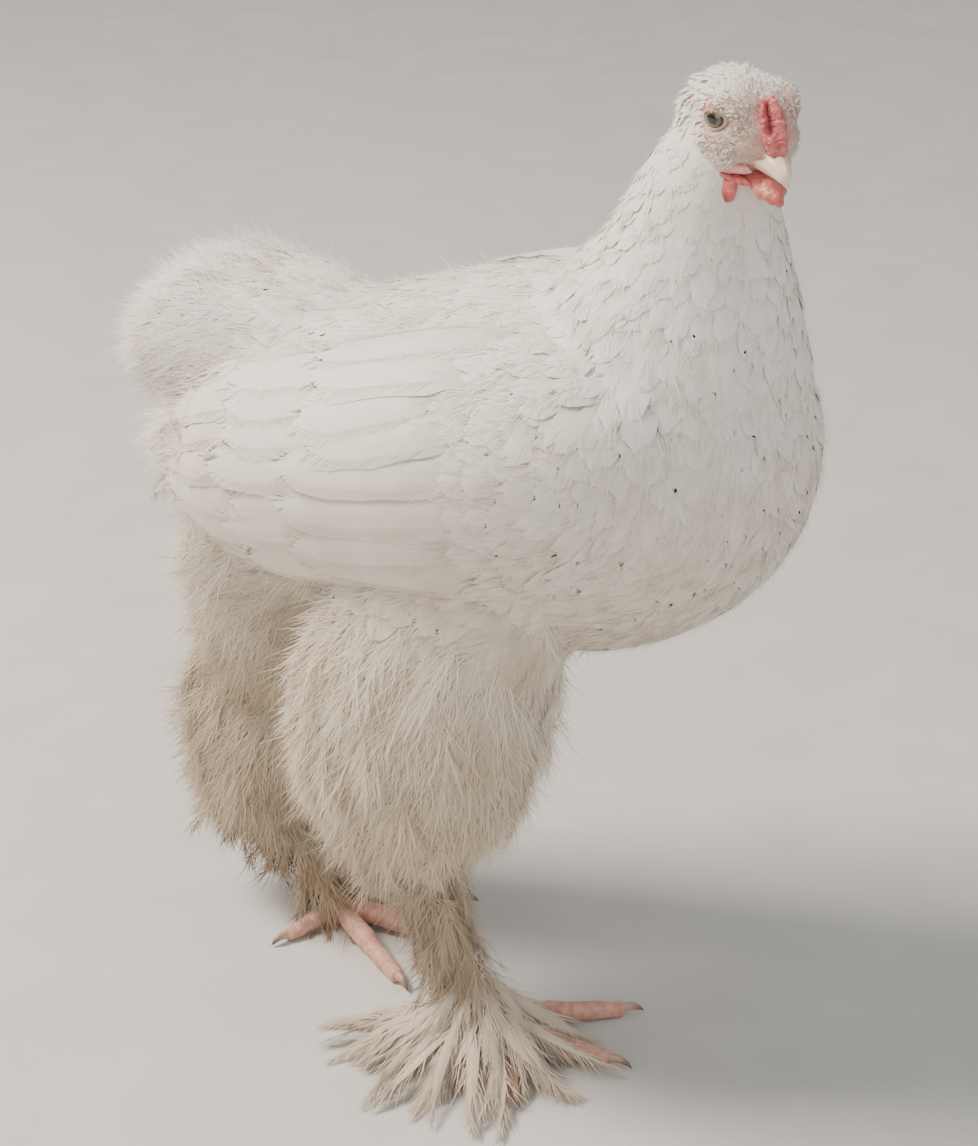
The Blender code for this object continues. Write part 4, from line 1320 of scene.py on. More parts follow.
@dataclass(frozen=True)
class EyeGlass:
    """A wet eye: a clear coat over a pale olive iris with a dark rim and a black pupil."""

    name: str = "Wet_Eye"
    pupil: str = "060505"
    inner: str = "463F28"
    iris: str = "757050"
    rim: str = "201B14"
    white: str = "4A3B32"
    reach_mm: float = 7.0

    def build(self) -> bpy.types.Material:
        """Makes the material from the distance to the middle of the pupil in millimetres."""
        nodes = Nodes(self.name)
        fibre = nodes.stretch(nodes.noise(2200.0, 4.0), 0.3, 0.7, -0.3, 0.3)
        share = nodes.maths("ADD", nodes.mark("radius"), fibre)
        share = nodes.stretch(share, 0.0, self.reach_mm, 0.0, 1.0)
        colour = nodes.ramp(share, (0.30, self.pupil), (0.36, self.inner), (0.52, self.iris),
                            (0.68, self.rim), (0.80, self.white))
        return nodes.finish(colour, {"Roughness": 0.12, "Coat Weight": 1.0, "Coat Roughness": 0.02})


def stain_of(places: np.ndarray) -> np.ndarray:
    """Finds how stained the coat is at (N, 3) places, from 0 to 1.

    The stain grows from the knees down and at the rear of the legs, in patches.
    """
    height = places[:, 2] / MM
    low = 1 - blend(30, 190, height)
    behind = 0.55 * blend(60, 130, places[:, 1] / MM) * (1 - blend(160, 280, height))
    return np.clip(np.maximum(low, behind) * (0.85 + 0.5 * noise(places, 0.03, 5)), 0, 1)


def towards(x: float, f: float, z: float) -> Callable:
    """Makes a direction function that is the same all over a form."""
    return lambda keys, angles, places: np.broadcast_to(np.array((x, f, z), float), places.shape)


def torso_lie(keys: np.ndarray, angles: np.ndarray, places: np.ndarray) -> np.ndarray:
    """The torso's lie: backwards along back and flanks, down over the breast."""
    turn = np.radians(angles)
    front = (blend(95, 172, keys) * (0.4 + 0.6 * blend(-0.9, -0.2, np.sin(turn))))[:, None]
    back = np.stack([0 * keys, -1 + 0 * keys, -0.22 * np.abs(np.cos(turn))], axis=1)
    return back * (1 - front) + np.array((0, -0.3, -1)) * front


def neck_lie(keys: np.ndarray, angles: np.ndarray, places: np.ndarray) -> np.ndarray:
    """The neck's lie: down all round, and back along where it meets the back."""
    behind = (np.clip(-np.sin(np.radians(angles)), 0, 1) * blend(60, 130, keys))[:, None]
    return np.array((0, -0.25, -1)) * (1 - behind) + np.array((0, -1, -0.35)) * behind


def cushion_lie(keys: np.ndarray, angles: np.ndarray, places: np.ndarray) -> np.ndarray:
    """The cushion's lie: backwards and apart, up on top and falling over below."""
    turn = np.radians(angles)
    top = -np.sin(turn)
    end = blend(60, 142, keys)
    fall = 0.28 * top - 0.55 * end * (top < 0.3)
    return np.stack([0.35 * np.cos(turn), -1 + 0.2 * end, fall], axis=1)


def head_lie(keys: np.ndarray, angles: np.ndarray, places: np.ndarray) -> np.ndarray:
    """The head's lie: back from the beak and a little down."""
    return np.broadcast_to(-HEAD_FRAME.axes()[1] - 0.45 * UP, places.shape)


def torso_place(places: np.ndarray) -> tuple[np.ndarray, np.ndarray]:
    """Finds the torso key and angle below places, from the ellipse through each."""
    keys = np.clip(-places[:, 1] / MM, TORSO.keys[0], TORSO.keys[-1])
    centre = hermite(TORSO.keys, TORSO.spine, keys)
    reach = hermite(TORSO.keys, TORSO.reach, keys)
    rise = places[:, 2] - centre[:, 2]
    depth = np.where(rise > 0, reach[:, 1], reach[:, 2])
    return keys, np.degrees(np.arctan2(rise / depth, places[:, 0] / reach[:, 0])) % 360


@dataclass
class Body:
    """The skin under the coat and the coat on it: closed feathers, fluff and loose down.

    bury is how deep the skin lies inside the solids, in metres. A feather's looseness of about
    loose_from makes it a plume of fluff.
    """

    voxel: float = 0.0028
    smoothing: int = 8
    contour_spacing: float = 0.0066
    contour_pieces: int = 3
    contour_vane: VaneShape = VaneShape(cup=0.08, ragged=0.24)
    contour_barb: BarbShape = BarbShape(20, 0.3, 0.00045, loose=0.3, cup=0.06)
    fluff_spacing: float = 0.0046
    fluff_barb: BarbShape = BarbShape(30, 0.05, 0.00048, slant=32, loose=0.6, cup=0.02, droop=0.06)
    stray_share: float = 0.05
    stray_rise: float = 0.2
    piece_faces: int = 190000
    loose_from: float = 0.25
    head_radius: float = 20.5
    bury: dict = field(default_factory=lambda: {
        "torso": -0.004, "neck": -0.003, "abdomen": -0.005, "cushion": -0.005, "thigh": -0.005,
        "shank": -0.003, "head": -0.0060, "wing": -0.004,
    })

    def make_skin(self) -> bpy.types.Object:
        """Builds the one skin of all the flesh, inside the solids by the coat's depth."""
        parts = [form.closed(rings, sides, self.bury[name]) for form, rings, sides, name in (
            (TORSO, 60, 72, "torso"), (NECK, 40, 60, "neck"), (ABDOMEN, 30, 48, "abdomen"),
            (CUSHION, 36, 48, "cushion"), (HEAD, 30, 48, "head"))]
        for side in Side:
            parts += [THIGHS[side].closed(40, 48, self.bury["thigh"]),
                      SHANKS[side].closed(24, 28, self.bury["shank"]),
                      WING.core(side, self.bury["wing"])]
        skin = fuse("Skin", parts, self.voxel, self.smoothing)
        unwrap(skin)
        even = np.ones(len(skin.data.vertices))
        # at 0.3 along the skin's colour lies partway between Down_Bed's root, which is painted
        # shade, and its middle
        put_values(skin, "along", 0.3 * even)
        put_values(skin, "tone", 0.6 * even)
        put_values(skin, "stain", stain_of(vertex_places(skin)))
        seat(skin, FeatherKeratin(name="Down_Bed", sheen=0.1, root="E2D9D0").build(), "feathers",
             "torso", "neck", "abdomen", "thigh_right", "thigh_left", "shank_right", "shank_left")
        log.info("Skin: %d faces", len(skin.data.polygons))
        return skin

    def make_lie(self) -> Lie:
        """Lists how the coat lies on every form: (key, length, half width, rise, loose, stain)."""
        zones = [
            Zone(TORSO, torso_lie, (
                (-178, 30, 11, 0.07, 0.6, 0), (-60, 32, 11, 0.05, 0.05, 0),
                (60, 30, 11, 0.05, 0.0, 0), (120, 28, 10, 0.045, 0.0, 0),
                (176, 24, 9, 0.045, 0.0, 0)), (26, 36)),
            Zone(NECK, neck_lie, (
                (0, 9, 3.2, 0.10, 0, 0), (22, 13, 4.6, 0.10, 0, 0), (60, 19, 7.0, 0.08, 0, 0),
                (104, 26, 9.5, 0.06, 0, 0), (140, 28, 10, 0.05, 0, 0)), (18, 30)),
            Zone(HEAD, head_lie, ((-28, 8, 2.8, 0.08, 0, 0), (30, 4, 1.5, 0.06, 0, 0)), (8, 16)),
            Zone(ABDOMEN, towards(0, -0.4, -1), (
                (0, 34, 9, 0.06, 1, 0.1), (112, 38, 10, 0.10, 1, 0.5)), (10, 24)),
            Zone(CUSHION, cushion_lie, (
                (0, 28, 9, 0.05, 0.1, 0), (36, 28, 9, 0.06, 0.5, 0), (64, 25, 9, 0.08, 1, 0),
                (110, 21, 8, 0.12, 1, 0), (142, 15, 7, 0.16, 1, 0)), (14, 28)),
            Zone(THIGHS[Side.RIGHT], towards(0, -0.22, -1), (
                (0, 30, 9, 0.05, 0.3, 0), (40, 28, 9, 0.05, 1, 0), (120, 28, 9, 0.06, 1, 0.3),
                (180, 28, 9, 0.10, 1, 0.7)), (14, 24)),
            Zone(THIGHS[Side.LEFT], towards(0, -0.35, -1), (
                (0, 30, 9, 0.05, 0.3, 0), (60, 28, 9, 0.05, 1, 0), (170, 32, 10, 0.08, 1, 0.4),
                (264, 32, 9, 0.14, 1, 0.8)), (18, 24)),
        ]
        zones += [Zone(SHANKS[side], towards(0.25 * side.value, 0.1, -1), (
            (0, 30, 8, 0.26, 1, 0.8), (100, 28, 8, 0.4, 1, 1.0)), (8, 12)) for side in Side]
        return Lie(zones)

    def build(self, draw: np.random.Generator) -> Surface:
        """Builds the skin and its coat.

        Args:
            draw: The random numbers.

        Returns:
            The skin's surface.
        """
        surface = Surface.of(self.make_skin())
        lie = self.make_lie()
        self.contour(surface, lie, FeatherKeratin().build(), draw)
        # the down's darker root colour is painted shade where the plumes overlap
        down = FeatherKeratin(name="White_Down", root="EFE9E2", middle="F8F4EE", tip="FCFAF6",
                              shade="EEE7E0", warm="CDB998", sheen=0.4, roughness=0.8)
        self.fluff(surface, lie, down.build(), draw)
        return surface

    def under_wing(self, places: np.ndarray) -> tuple[np.ndarray, np.ndarray]:
        """Finds which places lie at the wings, and which the wings' own feathers cover."""
        keys, angles = torso_place(places)
        top, bottom, _ = WING.limits(WING.within(keys)).T
        turned = np.where(places[:, 0] < 0, angles, (180 - angles) % 360)
        inside = (turned > top - 4) & (turned < bottom + 4) & (keys < 140)
        covered = (keys < 42) & (keys > -112) & (turned > top + 6) & (turned < bottom - 4)
        return inside, covered

    def contour(self, surface: Surface, lie: Lie, finish: bpy.types.Material,
                draw: np.random.Generator) -> None:
        """Lays the closed body feathers: a cupped vane each, edged with free barbs.

        Args:
            surface: the surface that the feathers ride on.
            lie: how the feathers lie at each place.
            finish: the material.
            draw: the random draws.
        """
        roots = surface.scatter(self.contour_spacing, draw)
        along, size = lie.read(roots.places)
        local = HEAD_FRAME.local(roots.places)
        on_head = np.linalg.norm(local * np.array((1.0, 0.85, 1.0)), axis=1) < self.head_radius
        inside, covered = self.under_wing(roots.places)
        closed = size[:, 3] < self.loose_from + 0.5 * draw.random(len(size))
        keep = closed & ~on_head & ~covered
        roots, along, size = roots.pick(keep), along[keep], size[keep]
        length = size[:, 0] * MM * draw.uniform(0.8, 1.2, len(size))
        half = size[:, 1] * MM * draw.uniform(0.85, 1.15, len(size))
        rise = size[:, 2] * draw.uniform(0.8, 1.25, len(size)) + 0.07 * inside[keep]
        quills = Quills.lying(roots, along, length, rise, stain_of(roots.places), draw, surface,
                              rows=7, wild=0.16)
        parts = np.array_split(np.argsort(quills.line[:, 0, 0]), self.contour_pieces)
        batches = []
        for part in parts:
            some = quills.pick(part)
            batches.append([some.vanes(half[part] * 0.85, draw, self.contour_vane),
                            some.barbs(half[part], draw, self.contour_barb)])
        for i, pair in enumerate(batches):
            Batch.join(pair).build(f"ContourFeathers_{i}", finish, "feathers")
        log.info("contour feathers: %d", len(size))

    def fluff(self, surface: Surface, lie: Lie, finish: bpy.types.Material,
              draw: np.random.Generator) -> None:
        """Lays the soft plumes: long free barbs that overlap in locks.

        Args:
            surface: the surface that the feathers ride on.
            lie: how the feathers lie at each place.
            finish: the material.
            draw: the random draws.
        """
        roots = surface.scatter(self.fluff_spacing, draw)
        along, size = lie.read(roots.places)
        keep = size[:, 3] > self.loose_from + 0.5 * draw.random(len(size))
        roots, along, size = roots.pick(keep), along[keep], size[keep]
        length = size[:, 0] * MM * draw.uniform(0.7, 1.25, len(size))
        half = size[:, 1] * MM * draw.uniform(0.8, 1.2, len(size))
        rise = size[:, 2] * draw.uniform(0.4, 1.5, len(size))
        rise += self.stray_rise * (draw.random(len(size)) < self.stray_share)
        quills = Quills.lying(roots, along, length, rise, stain_of(roots.places), draw, surface,
                              rows=7, wild=0.26, hug=0.5)
        order = np.argsort(quills.line[:, 0, 2])
        faces = len(order) * self.fluff_barb.count * len(RIBBON)
        pieces = max(int(np.ceil(faces / self.piece_faces)), 1)
        for i, part in enumerate(np.array_split(order, pieces)):
            barbs = quills.pick(part).barbs(half[part], draw, self.fluff_barb)
            barbs.build(f"Fluff_{i}", finish, "fluff", *(() if i else ("cushion",)))
        log.info("fluff plumes: %d", len(size))


@dataclass(frozen=True)
class Tier:
    """One row of wing feathers, placed over the torso.

    It runs from one key to another, and from the two angles of its first and last feather at
    the roots to those at the tips. The half width, the height over the wing and the unevenness
    of the keys are in millimetres.
    """

    start: float
    end: float
    roots: tuple
    tips: tuple
    count: int
    half: float
    rise: float
    odd: float


@dataclass
class Wings:
    """The folded wings: quills in stacked bands at the rear, and rows of coverts over them."""

    tiers: tuple = (
        Tier(0, -147, (141, 195), (155, 205), 6, 17, 1.0, 4),
        Tier(36, -90, (131, 199), (142, 203), 7, 17, 2.2, 9),
        Tier(70, -36, (128, 197), (135, 200), 8, 16, 3.2, 13),
    )
    rows: int = 12
    cols: int = 9
    barbs: int = 90
    tilt: float = 1.7
    curl: float = -1.5
    flank_mm: float = 98

    def hug(self, side: Side, keys: np.ndarray, angles: np.ndarray,
            height: np.ndarray) -> np.ndarray:
        """Places points over the folded wing.

        Args:
            side: Which wing.
            keys: Keys along the torso.
            angles: Angles as on the right side.
            height: Height over the wing in millimetres.

        Returns:
            Their places in metres.
        """
        lifts = (WING.lift(WING.within(keys), angles) + height) * MM
        turned = angles if side is Side.RIGHT else 180 - angles
        return TORSO.at(keys, turned, np.maximum(lifts, -0.004))

    def build(self, side: Side, surface: Surface, finish: bpy.types.Material,
              draw: np.random.Generator) -> None:
        """Builds one wing's feathers on the torso's shape.

        Args:
            side: the side of the bird.
            surface: the surface that the feathers ride on.
            finish: the material.
            draw: the random draws.
        """
        batches = [batch for tier in self.tiers for batch in self.vanes(side, surface, draw, tier)]
        whole = Batch.join(batches)
        whole.build("WingFeathers_" + side.word, finish, "feathers", "wing_" + side.word)

    def outline(self, at: np.ndarray) -> np.ndarray:
        """The half width as a share: it opens at the root and closes to a round tip."""
        close = np.sqrt(np.clip(1 - np.clip((at - 0.74) / 0.27, 0, 1) ** 2.2, 0, 1))
        return (0.55 + 0.45 * blend(0, 0.3, at)) * close

    def vanes(self, side: Side, surface: Surface, draw: np.random.Generator,
              tier: Tier) -> tuple[Batch, Batch]:
        """Builds one tier's vanes and the free barbs along their edges.

        Each vane runs between its two angles. Its half width closes to a round tip, its root is
        sunk by (rise + 6) * (1 - t)^3, its lower edge lies proud and its shaft is a low ridge.
        Barbs start inside the vane and end a few millimetres past its edge.

        Args:
            side: Which wing.
            surface: The skin.
            draw: The random numbers.
            tier: The tier.

        Returns:
            The vanes and the barbs.
        """
        count, many = tier.count, self.barbs
        t = np.linspace(0, 1, self.rows)[None, :, None]
        u = np.linspace(-1, 1, self.cols)[None, None, :]
        share = np.linspace(0, 1, count)

        def vary(value: np.ndarray | float, low: float, high: float,
                 scale: float = 1.0) -> np.ndarray:
            """Adds a random amount to a value of each feather."""
            return (value + draw.uniform(low, high, count) * scale).reshape(count, 1, 1)

        first = vary(tier.start, -tier.odd, tier.odd)
        last = vary(tier.end, -tier.odd, tier.odd)
        low = vary(tier.roots[0] + (tier.roots[1] - tier.roots[0]) * share, -1, 1)
        high = vary(tier.tips[0] + (tier.tips[1] - tier.tips[0]) * share, -0.35, 0.35, tier.odd)
        size = vary(0, 0.82, 1.2, tier.half)
        sway = vary(0, -2.4, 2.4)
        height = vary(tier.rise, -0.4, 0.6)
        degrees = 180 / np.pi / self.flank_mm

        def surface_at(at: np.ndarray, across: np.ndarray, extra: np.ndarray | float) -> np.ndarray:
            """Places on each vane at a share along it and millimetres across it."""
            keys = first + (last - first) * at
            angles = low + (high - low) * at + sway * at * (1 - at) * 4 * 0.5 + across * degrees
            curl = self.curl * (across / size) ** 2
            up = height - (height + 6) * (1 - at) ** 3 + self.tilt * across / size + curl + extra
            return self.hug(side, *np.broadcast_arrays(keys, angles, up))

        notch = 1 - 0.07 * draw.random((count, 1, self.cols)) * blend(0.6, 1.0, t)
        wave = 1 + 0.05 * draw.normal(0, 1, (count, self.rows, 1))
        shaft = 0.5 * (np.abs(u) < SHAFT) * (1 - 0.7 * t)
        grid = surface_at(t * notch, self.outline(t) * wave * size * u, shaft)
        tone, bed = draw.random(count), surface.nearest(grid[:, 0, self.cols // 2])
        clean = np.zeros(count)
        turn = -int(side.value)
        faces = grid_faces(self.rows, self.cols)[:, ::-turn]
        faces = repeat_faces(faces, count, self.rows * self.cols)
        spread = np.broadcast_to(t, grid.shape[:3])
        vane = Batch.of(grid, faces, patch(bed, u, spread), spread, tone, clean)

        s = np.arange(many)[None, :] + draw.random((count, many))
        s = (0.25 + 0.75 * s / many)[..., None]
        sign = np.where(np.arange(many) % 2, 1.0, -1.0)[None, :, None]
        q = STEPS[None, None, :]
        run = 0.10 + 0.05 * draw.random((count, many, 1))
        at = np.clip(s + run * q, 0, 1.04)
        over = (2.0 + 0.7 * tier.rise) * draw.random((count, many, 1)) * blend(0.4, 1.0, s)
        edge = self.outline(np.clip(s + 0.6 * run, 0, 0.99)) * size
        across = sign * (edge * (0.62 + 0.38 * q) + (0.8 + over) * q**2)
        lift = 0.25 + 0.5 * draw.random((count, many, 1)) * q
        wide = 0.28 * (1 - 0.85 * q)
        left = surface_at(at, across - wide, lift)
        strips = ribbon(left, surface_at(at, across + wide, lift), left)
        faces = repeat_faces(RIBBON[:, ::turn], count * many, RIBBON_SIZE)
        along = np.clip(at[:, :, (0, 0, 1, 1, 2)], 0, 1)
        aside = np.broadcast_to((across / size)[:, :, (0, 0, 1, 1, 2)], along.shape)
        uv = patch(bed, np.clip(aside, -1, 1), along)
        return vane, Batch.of(strips, faces, uv, along, tone, clean)


@dataclass
class Tail:
    """The short tail's stiff feathers, hanging out below the cushion."""

    angles: tuple = (-150, -132, -116, -100, -84, -68, -50, -32)
    rows: int = 10
    root_key: float = 10
    tip_keys: tuple = (84, 99)
    half: float = 0.0125
    stain: float = 0.25
    vane: VaneShape = VaneShape(cols=9, cup=0.12, ragged=0.10, blunt=0.62, ridge=0.0006)
    barb: BarbShape = BarbShape(60, 0.3, 0.0007, slant=32, loose=0.2)

    def build(self, surface: Surface, finish: bpy.types.Material,
              draw: np.random.Generator) -> None:
        """Builds the tail feathers over the tail's flat form.

        Args:
            surface: the surface that the feathers ride on.
            finish: the material.
            draw: the random draws.
        """
        t = np.linspace(0, 1, self.rows)[None, :]
        angles = np.array(self.angles, float)[:, None]
        count = len(angles)
        keys = self.root_key + (draw.uniform(*self.tip_keys, (count, 1)) - self.root_key) * t
        turns = angles + (-90 - angles) * 0.12 * t
        lifts = (-3.0 * (1 - t) ** 2 + 1.0 + 1.6 * (np.arange(count) % 2)[:, None] * t) * MM
        line = TAIL.at(keys, turns, lifts)
        out = unit(TAIL.at(keys, turns, lifts + MM) - line)
        across = unit(np.cross(out, np.gradient(line, axis=1)))
        quills = Quills(line, out, across, surface.nearest(line[:, 0]), draw.random(count),
                        np.full(count, self.stain))
        half = np.full(count, self.half)
        batches = [quills.vanes(half, draw, self.vane), quills.barbs(half * 1.05, draw, self.barb)]
        Batch.join(batches).build("TailFeathers", finish, "feathers", "tail")


@dataclass(frozen=True)
class SoftPart:
    """A soft piece of the left of the face, fused from uneven forms.

    Each form is its stations and tips at head places; height and grain are how uneven it is, in
    millimetres and metres, and voxel and rounds how it is fused.
    """

    name: str
    forms: tuple
    height: float
    grain: float
    voxel: float
    rounds: int
    node: str = ""

    def build(self, side: Side, finish: bpy.types.Material) -> None:
        """Builds the piece on one side of the face.

        Args:
            side: the side of the bird.
            finish: the material.
        """
        turn = np.array((side.value, 1, 1))
        parts = []
        for stations, tips in self.forms:
            table = [(row[0], *(row[1:4] * turn), *row[4:7]) for row in np.array(stations, float)]
            form = HEAD_FRAME.hung(table, [tip * turn for tip in np.array(tips, float)])
            places, faces = form.closed(40, 40)
            away = unit(places - form.spine.mean(axis=0))
            uneven = (self.height * noise(places, self.grain, 9) * MM)[:, None]
            parts.append((places + away * uneven, faces))
        obj = fuse(self.name + side.word, parts, self.voxel, self.rounds)
        put_values(obj, "deep", np.clip(0.8 * noise(vertex_places(obj), 0.003, 12), 0, 1))
        seat(obj, finish, "comb_skin", *((self.node + side.word,) if self.node else ()))


WATTLE = SoftPart("Wattle_", (
    (((17, 13.4, 13, -17, 2.4, 5, 5), (23, 13.4, 12.5, -23, 3.0, 6.5, 6.2),
      (28, 13.2, 12.5, -28, 2.6, 5.2, 4.8)), ((13, 14, -14), (13, 12.5, -32))),
    (((16, 12.2, 18, -16, 2.0, 3.6, 3.6), (22, 12.2, 17.5, -22, 2.4, 4.4, 4.4),
      (26, 12.2, 17.5, -26, 1.8, 3.0, 3.0)), ((12, 18, -13), (12.2, 17.5, -28.5))),
    (((17, 15.0, 8.5, -17, 2.0, 3.6, 3.6), (22, 15.0, 8, -22, 2.4, 4.2, 4.2),
      (27, 14.8, 8, -27, 1.8, 2.8, 2.8)), ((14.6, 9, -13), (14.6, 8, -29.5))),
), 0.35, 0.0024, 0.0006, 3, "wattle_")
LOBE = SoftPart("EarLobe_", (
    (((5, 21.6, -5, -5, 2.2, 3, 3), (11, 21.6, -5, -11, 2.8, 4.5, 4.5),
      (17, 21.6, -5, -17, 2.0, 3, 3)), ((21.6, -5, -2), (20.8, -5, -20))),
), 0.25, 0.002, 0.0006, 2, "earlobe_")
LIP = SoftPart("Lip_", (
    (((8, 17.4, 9, -12.2, 2.3, 2.2, 2.2), (17, 15.4, 17, -10.8, 2.5, 2.4, 2.4),
      (26, 10.8, 26, -8.4, 2.3, 2.4, 2.4)), ((18, 5, -13.2), (8.6, 31, -8.8))),
), 0.3, 0.0022, 0.0005, 2)
GAPE = SoftPart("Gape_", (
    (((8, 17.2, 8, -15.4, 2.0, 2.2, 2.0), (16, 14.6, 15, -15.2, 2.2, 2.4, 2.0),
      (25, 9.4, 25, -15.4, 1.9, 2.2, 1.8)), ((18, 4, -14.4), (7.0, 30, -16))),
), 0.5, 0.0022, 0.0005, 2)


@dataclass
class Head:
    """The head: face skin with brows, lids and sockets, comb, beak, wattles, lobes and eyes.

    bumps, greys and reds are (side, ahead, up, radius, amount) in millimetres: the face's relief,
    its speckle of grey and tan, and its red marks. profile is the bare face's (ahead, half width,
    height), and lid_rings how large and how proud each ring of an eyelid is.
    """

    bumps: tuple = (
        (19.0, -5, 17.5, 6.5, 2.6), (18.5, 3, 19.0, 6.0, 4.2), (18.0, 10, 20.0, 5.5, 4.6),
        (16.5, 17, 18.5, 5.0, 4.4), (13.5, 23, 15.5, 4.2, 3.0), (19.0, 1, -8, 9, 1.2),
        (20.8, 12, 11, 5.5, -2.2), (12.5, 23, 7, 4.2, -1.2), (16.5, 12, -14, 5.0, -2.0),
        (18.5, 18, 11.5, 4.5, -2.6), (19.5, 13, 20.0, 4.5, 1.6), (11.5, 21, -13, 4.5, -2.0),
        (0.0, 22, -17, 8.0, -3.0), (0.0, 14, 27, 5.5, -3.0), (0.0, 22, 22, 6.5, -3.6),
        (0.0, 27, 14, 7, -4.4), (0.0, 30, 5, 7, -4.2), (0.0, 30, -4, 7, -2.0),
    )
    greys: tuple = (
        (14, 21, 12, 10, 1.0), (10, 22, 16, 8, 0.9), (19, 12, 0, 7.5, 0.8), (15, 20, 2, 8, 0.7),
    )
    reds: tuple = (
        (22, 4, 15, 5.0, 0.8), (22, 1, 9, 4.0, 0.5), (17, 8, -13, 4.0, 0.8),
        (13, 18, -13, 4.0, 0.8), (5, 27, 17, 3.5, 0.6), (7, 31, 8, 3.5, 0.6), (9, 31, -2, 3.5, 0.4),
    )
    profile: tuple = (
        (-28, 10, 11), (-12, 21, 23), (0, 23, 25.5), (12, 23, 26), (20, 20, 24), (30, 9, 11),
    )
    lid_rings: tuple = (
        (0.90, 0.02), (0.97, 0.3), (1.02, 0.7), (1.08, 0.9), (1.16, 0.75), (1.25, 0.4), (1.35, 0.5),
        (1.46, 0.3), (1.6, 0.35), (1.75, 0.15), (1.92, 0.0), (2.1, -0.9),
    )
    lid_sides: int = 96
    lid_gap: float = 0.12
    face_grid: tuple = (130, 180)
    comb_grid: tuple = (120, 96)
    beak_grid: tuple = (80, 72)
    eye_grid: tuple = (48, 64)
    eye_place: tuple = (16.8, 9.1, 12.0)
    eye_radius: float = 7.0
    gaze: float = math.radians(33)
    opening: tuple = (5.8, 4.9)
    feather_spacing: float = 0.00135
    vane: VaneShape = VaneShape(cols=3, cup=0.2, ragged=0.35)
    barb: BarbShape = BarbShape(9, 0.15, 0.0003, loose=0.5, cup=0.05)

    def face(self) -> Surface:
        """Builds the face's skin as a fine grid round the head, and its short feathers' bed."""
        keys, angles = around(HEAD.keys[0], HEAD.keys[-1], *self.face_grid)
        base = HEAD.at(keys, angles)
        local = HEAD_FRAME.folded(base)
        away = np.hypot(local[..., 1] - 12.5, local[..., 2] - 12.0)
        below = (1 - blend(4, 9, local[..., 2])) * blend(7.5, 9, away) * (1 - blend(14, 19, away))
        folds = 0.34 * np.sin(away * 3.6 + 2.2 * noise(base, 0.004, 15)) * below
        wrinkle = 0.22 * noise(base, 0.0022, 1) + 0.12 * noise(base, 0.0009, 2) + folds
        lift = spots(local, self.bumps).sum(axis=0) + wrinkle - 0.3
        obj = HEAD.shell("FaceSkin", self.socket(HEAD.at(keys, angles, lift * MM)))
        places = vertex_places(obj)
        local = HEAD_FRAME.folded(places)
        red = spots(local, self.reds).max(axis=0) * (1.0 + 0.4 * noise(local * MM, 0.003, 3))
        put_values(obj, "red", np.clip(red, 0, 1))
        put_values(obj, "speck", np.clip(0.2 + spots(local, self.greys).max(axis=0), 0, 1))
        unwrap(obj)
        seat(obj, FaceSkin().build(), "feathers", "head")
        log.info("FaceSkin: %d faces", len(obj.data.polygons))
        return Surface.of(obj)

    def eye_axes(self, side: Side) -> np.ndarray:
        """Returns the directions out of one eye, forward across it and up across it, as rows."""
        out = np.array((side.value * math.cos(self.gaze), math.sin(self.gaze), 0.0))
        ahead = np.array((-side.value * math.sin(self.gaze), math.cos(self.gaze), 0.0))
        return np.stack([out, ahead, UP])

    def eye_centre(self, side: Side) -> np.ndarray:
        """Returns the head place of the middle of one eye."""
        return np.array(self.eye_place) * np.array((side.value, 1, 1))

    def socket(self, grid: np.ndarray) -> np.ndarray:
        """Presses the face in round both eyes, so that it stays below the eyeball and the lids."""
        local = HEAD_FRAME.local(grid)
        for side in Side:
            axes = self.eye_axes(side)
            depth, across, up = np.moveaxis((local - self.eye_centre(side)) @ axes.T, -1, 0)
            ring = np.hypot(across / self.opening[0], up / self.opening[1])
            limit = 1.6 + 9.0 * blend(1.15, 1.9, ring)
            pressed = np.maximum(depth - limit, 0) * (depth > 0)
            local = local - pressed[..., None] * axes[0]
        return HEAD_FRAME.row(local)

    def side_reach(self, ahead: np.ndarray, up: np.ndarray) -> np.ndarray:
        """Finds how far the face reaches to the side, in millimetres, at places seen from there."""
        table = np.array(self.profile, float)
        half, above = (np.interp(ahead, table[:, 0], table[:, i]) for i in (1, 2))
        out = half * np.sqrt(np.clip(1 - (up / above) ** 2, 0.04, 1))
        return out + spots(np.stack([out, ahead, up], axis=-1), self.bumps).sum(axis=0)

    def eyes(self) -> None:
        """Builds the eyeballs, each a ball with a low bulge of cornea, and their lids."""
        finish = EyeGlass().build()
        # grey is the lids' speckle, and the colour of the painted shade on the upper lid
        skin = FaceSkin(name="Eyelid_Skin", pale="D8C2B4", grey="7F7168", red="CF6F55").build()
        rows, cols = self.eye_grid
        polar = np.linspace(0.02, np.pi - 0.02, rows)[:, None] * np.ones((1, cols))
        turn = (np.arange(cols)[None, :] * 2 * np.pi / cols * np.ones((rows, 1)))[..., None]
        arc = polar * self.eye_radius
        radius = self.eye_radius + 0.45 * np.exp(-((arc / 3.6) ** 4))
        for side in Side:
            axis, second, first = self.eye_axes(side)
            centre = self.eye_centre(side)
            ring = np.cos(turn) * first + np.sin(turn) * second
            local = np.cos(polar)[..., None] * axis + np.sin(polar)[..., None] * ring
            grid = HEAD_FRAME.row(radius[..., None] * local + centre).reshape(-1, 3)
            ends = np.stack([centre + axis * radius[0, 0], centre - axis * radius[-1, 0]])
            places = np.concatenate([grid, HEAD_FRAME.row(ends)])
            obj = new_mesh("Eye_" + side.word, places, outward(places, ring_faces(rows, cols)))
            put_values(obj, "radius", np.append(arc, (0.0, math.pi * self.eye_radius)))
            seat(obj, finish, "eye", "eye_" + side.word)
            self.lids(side, skin)

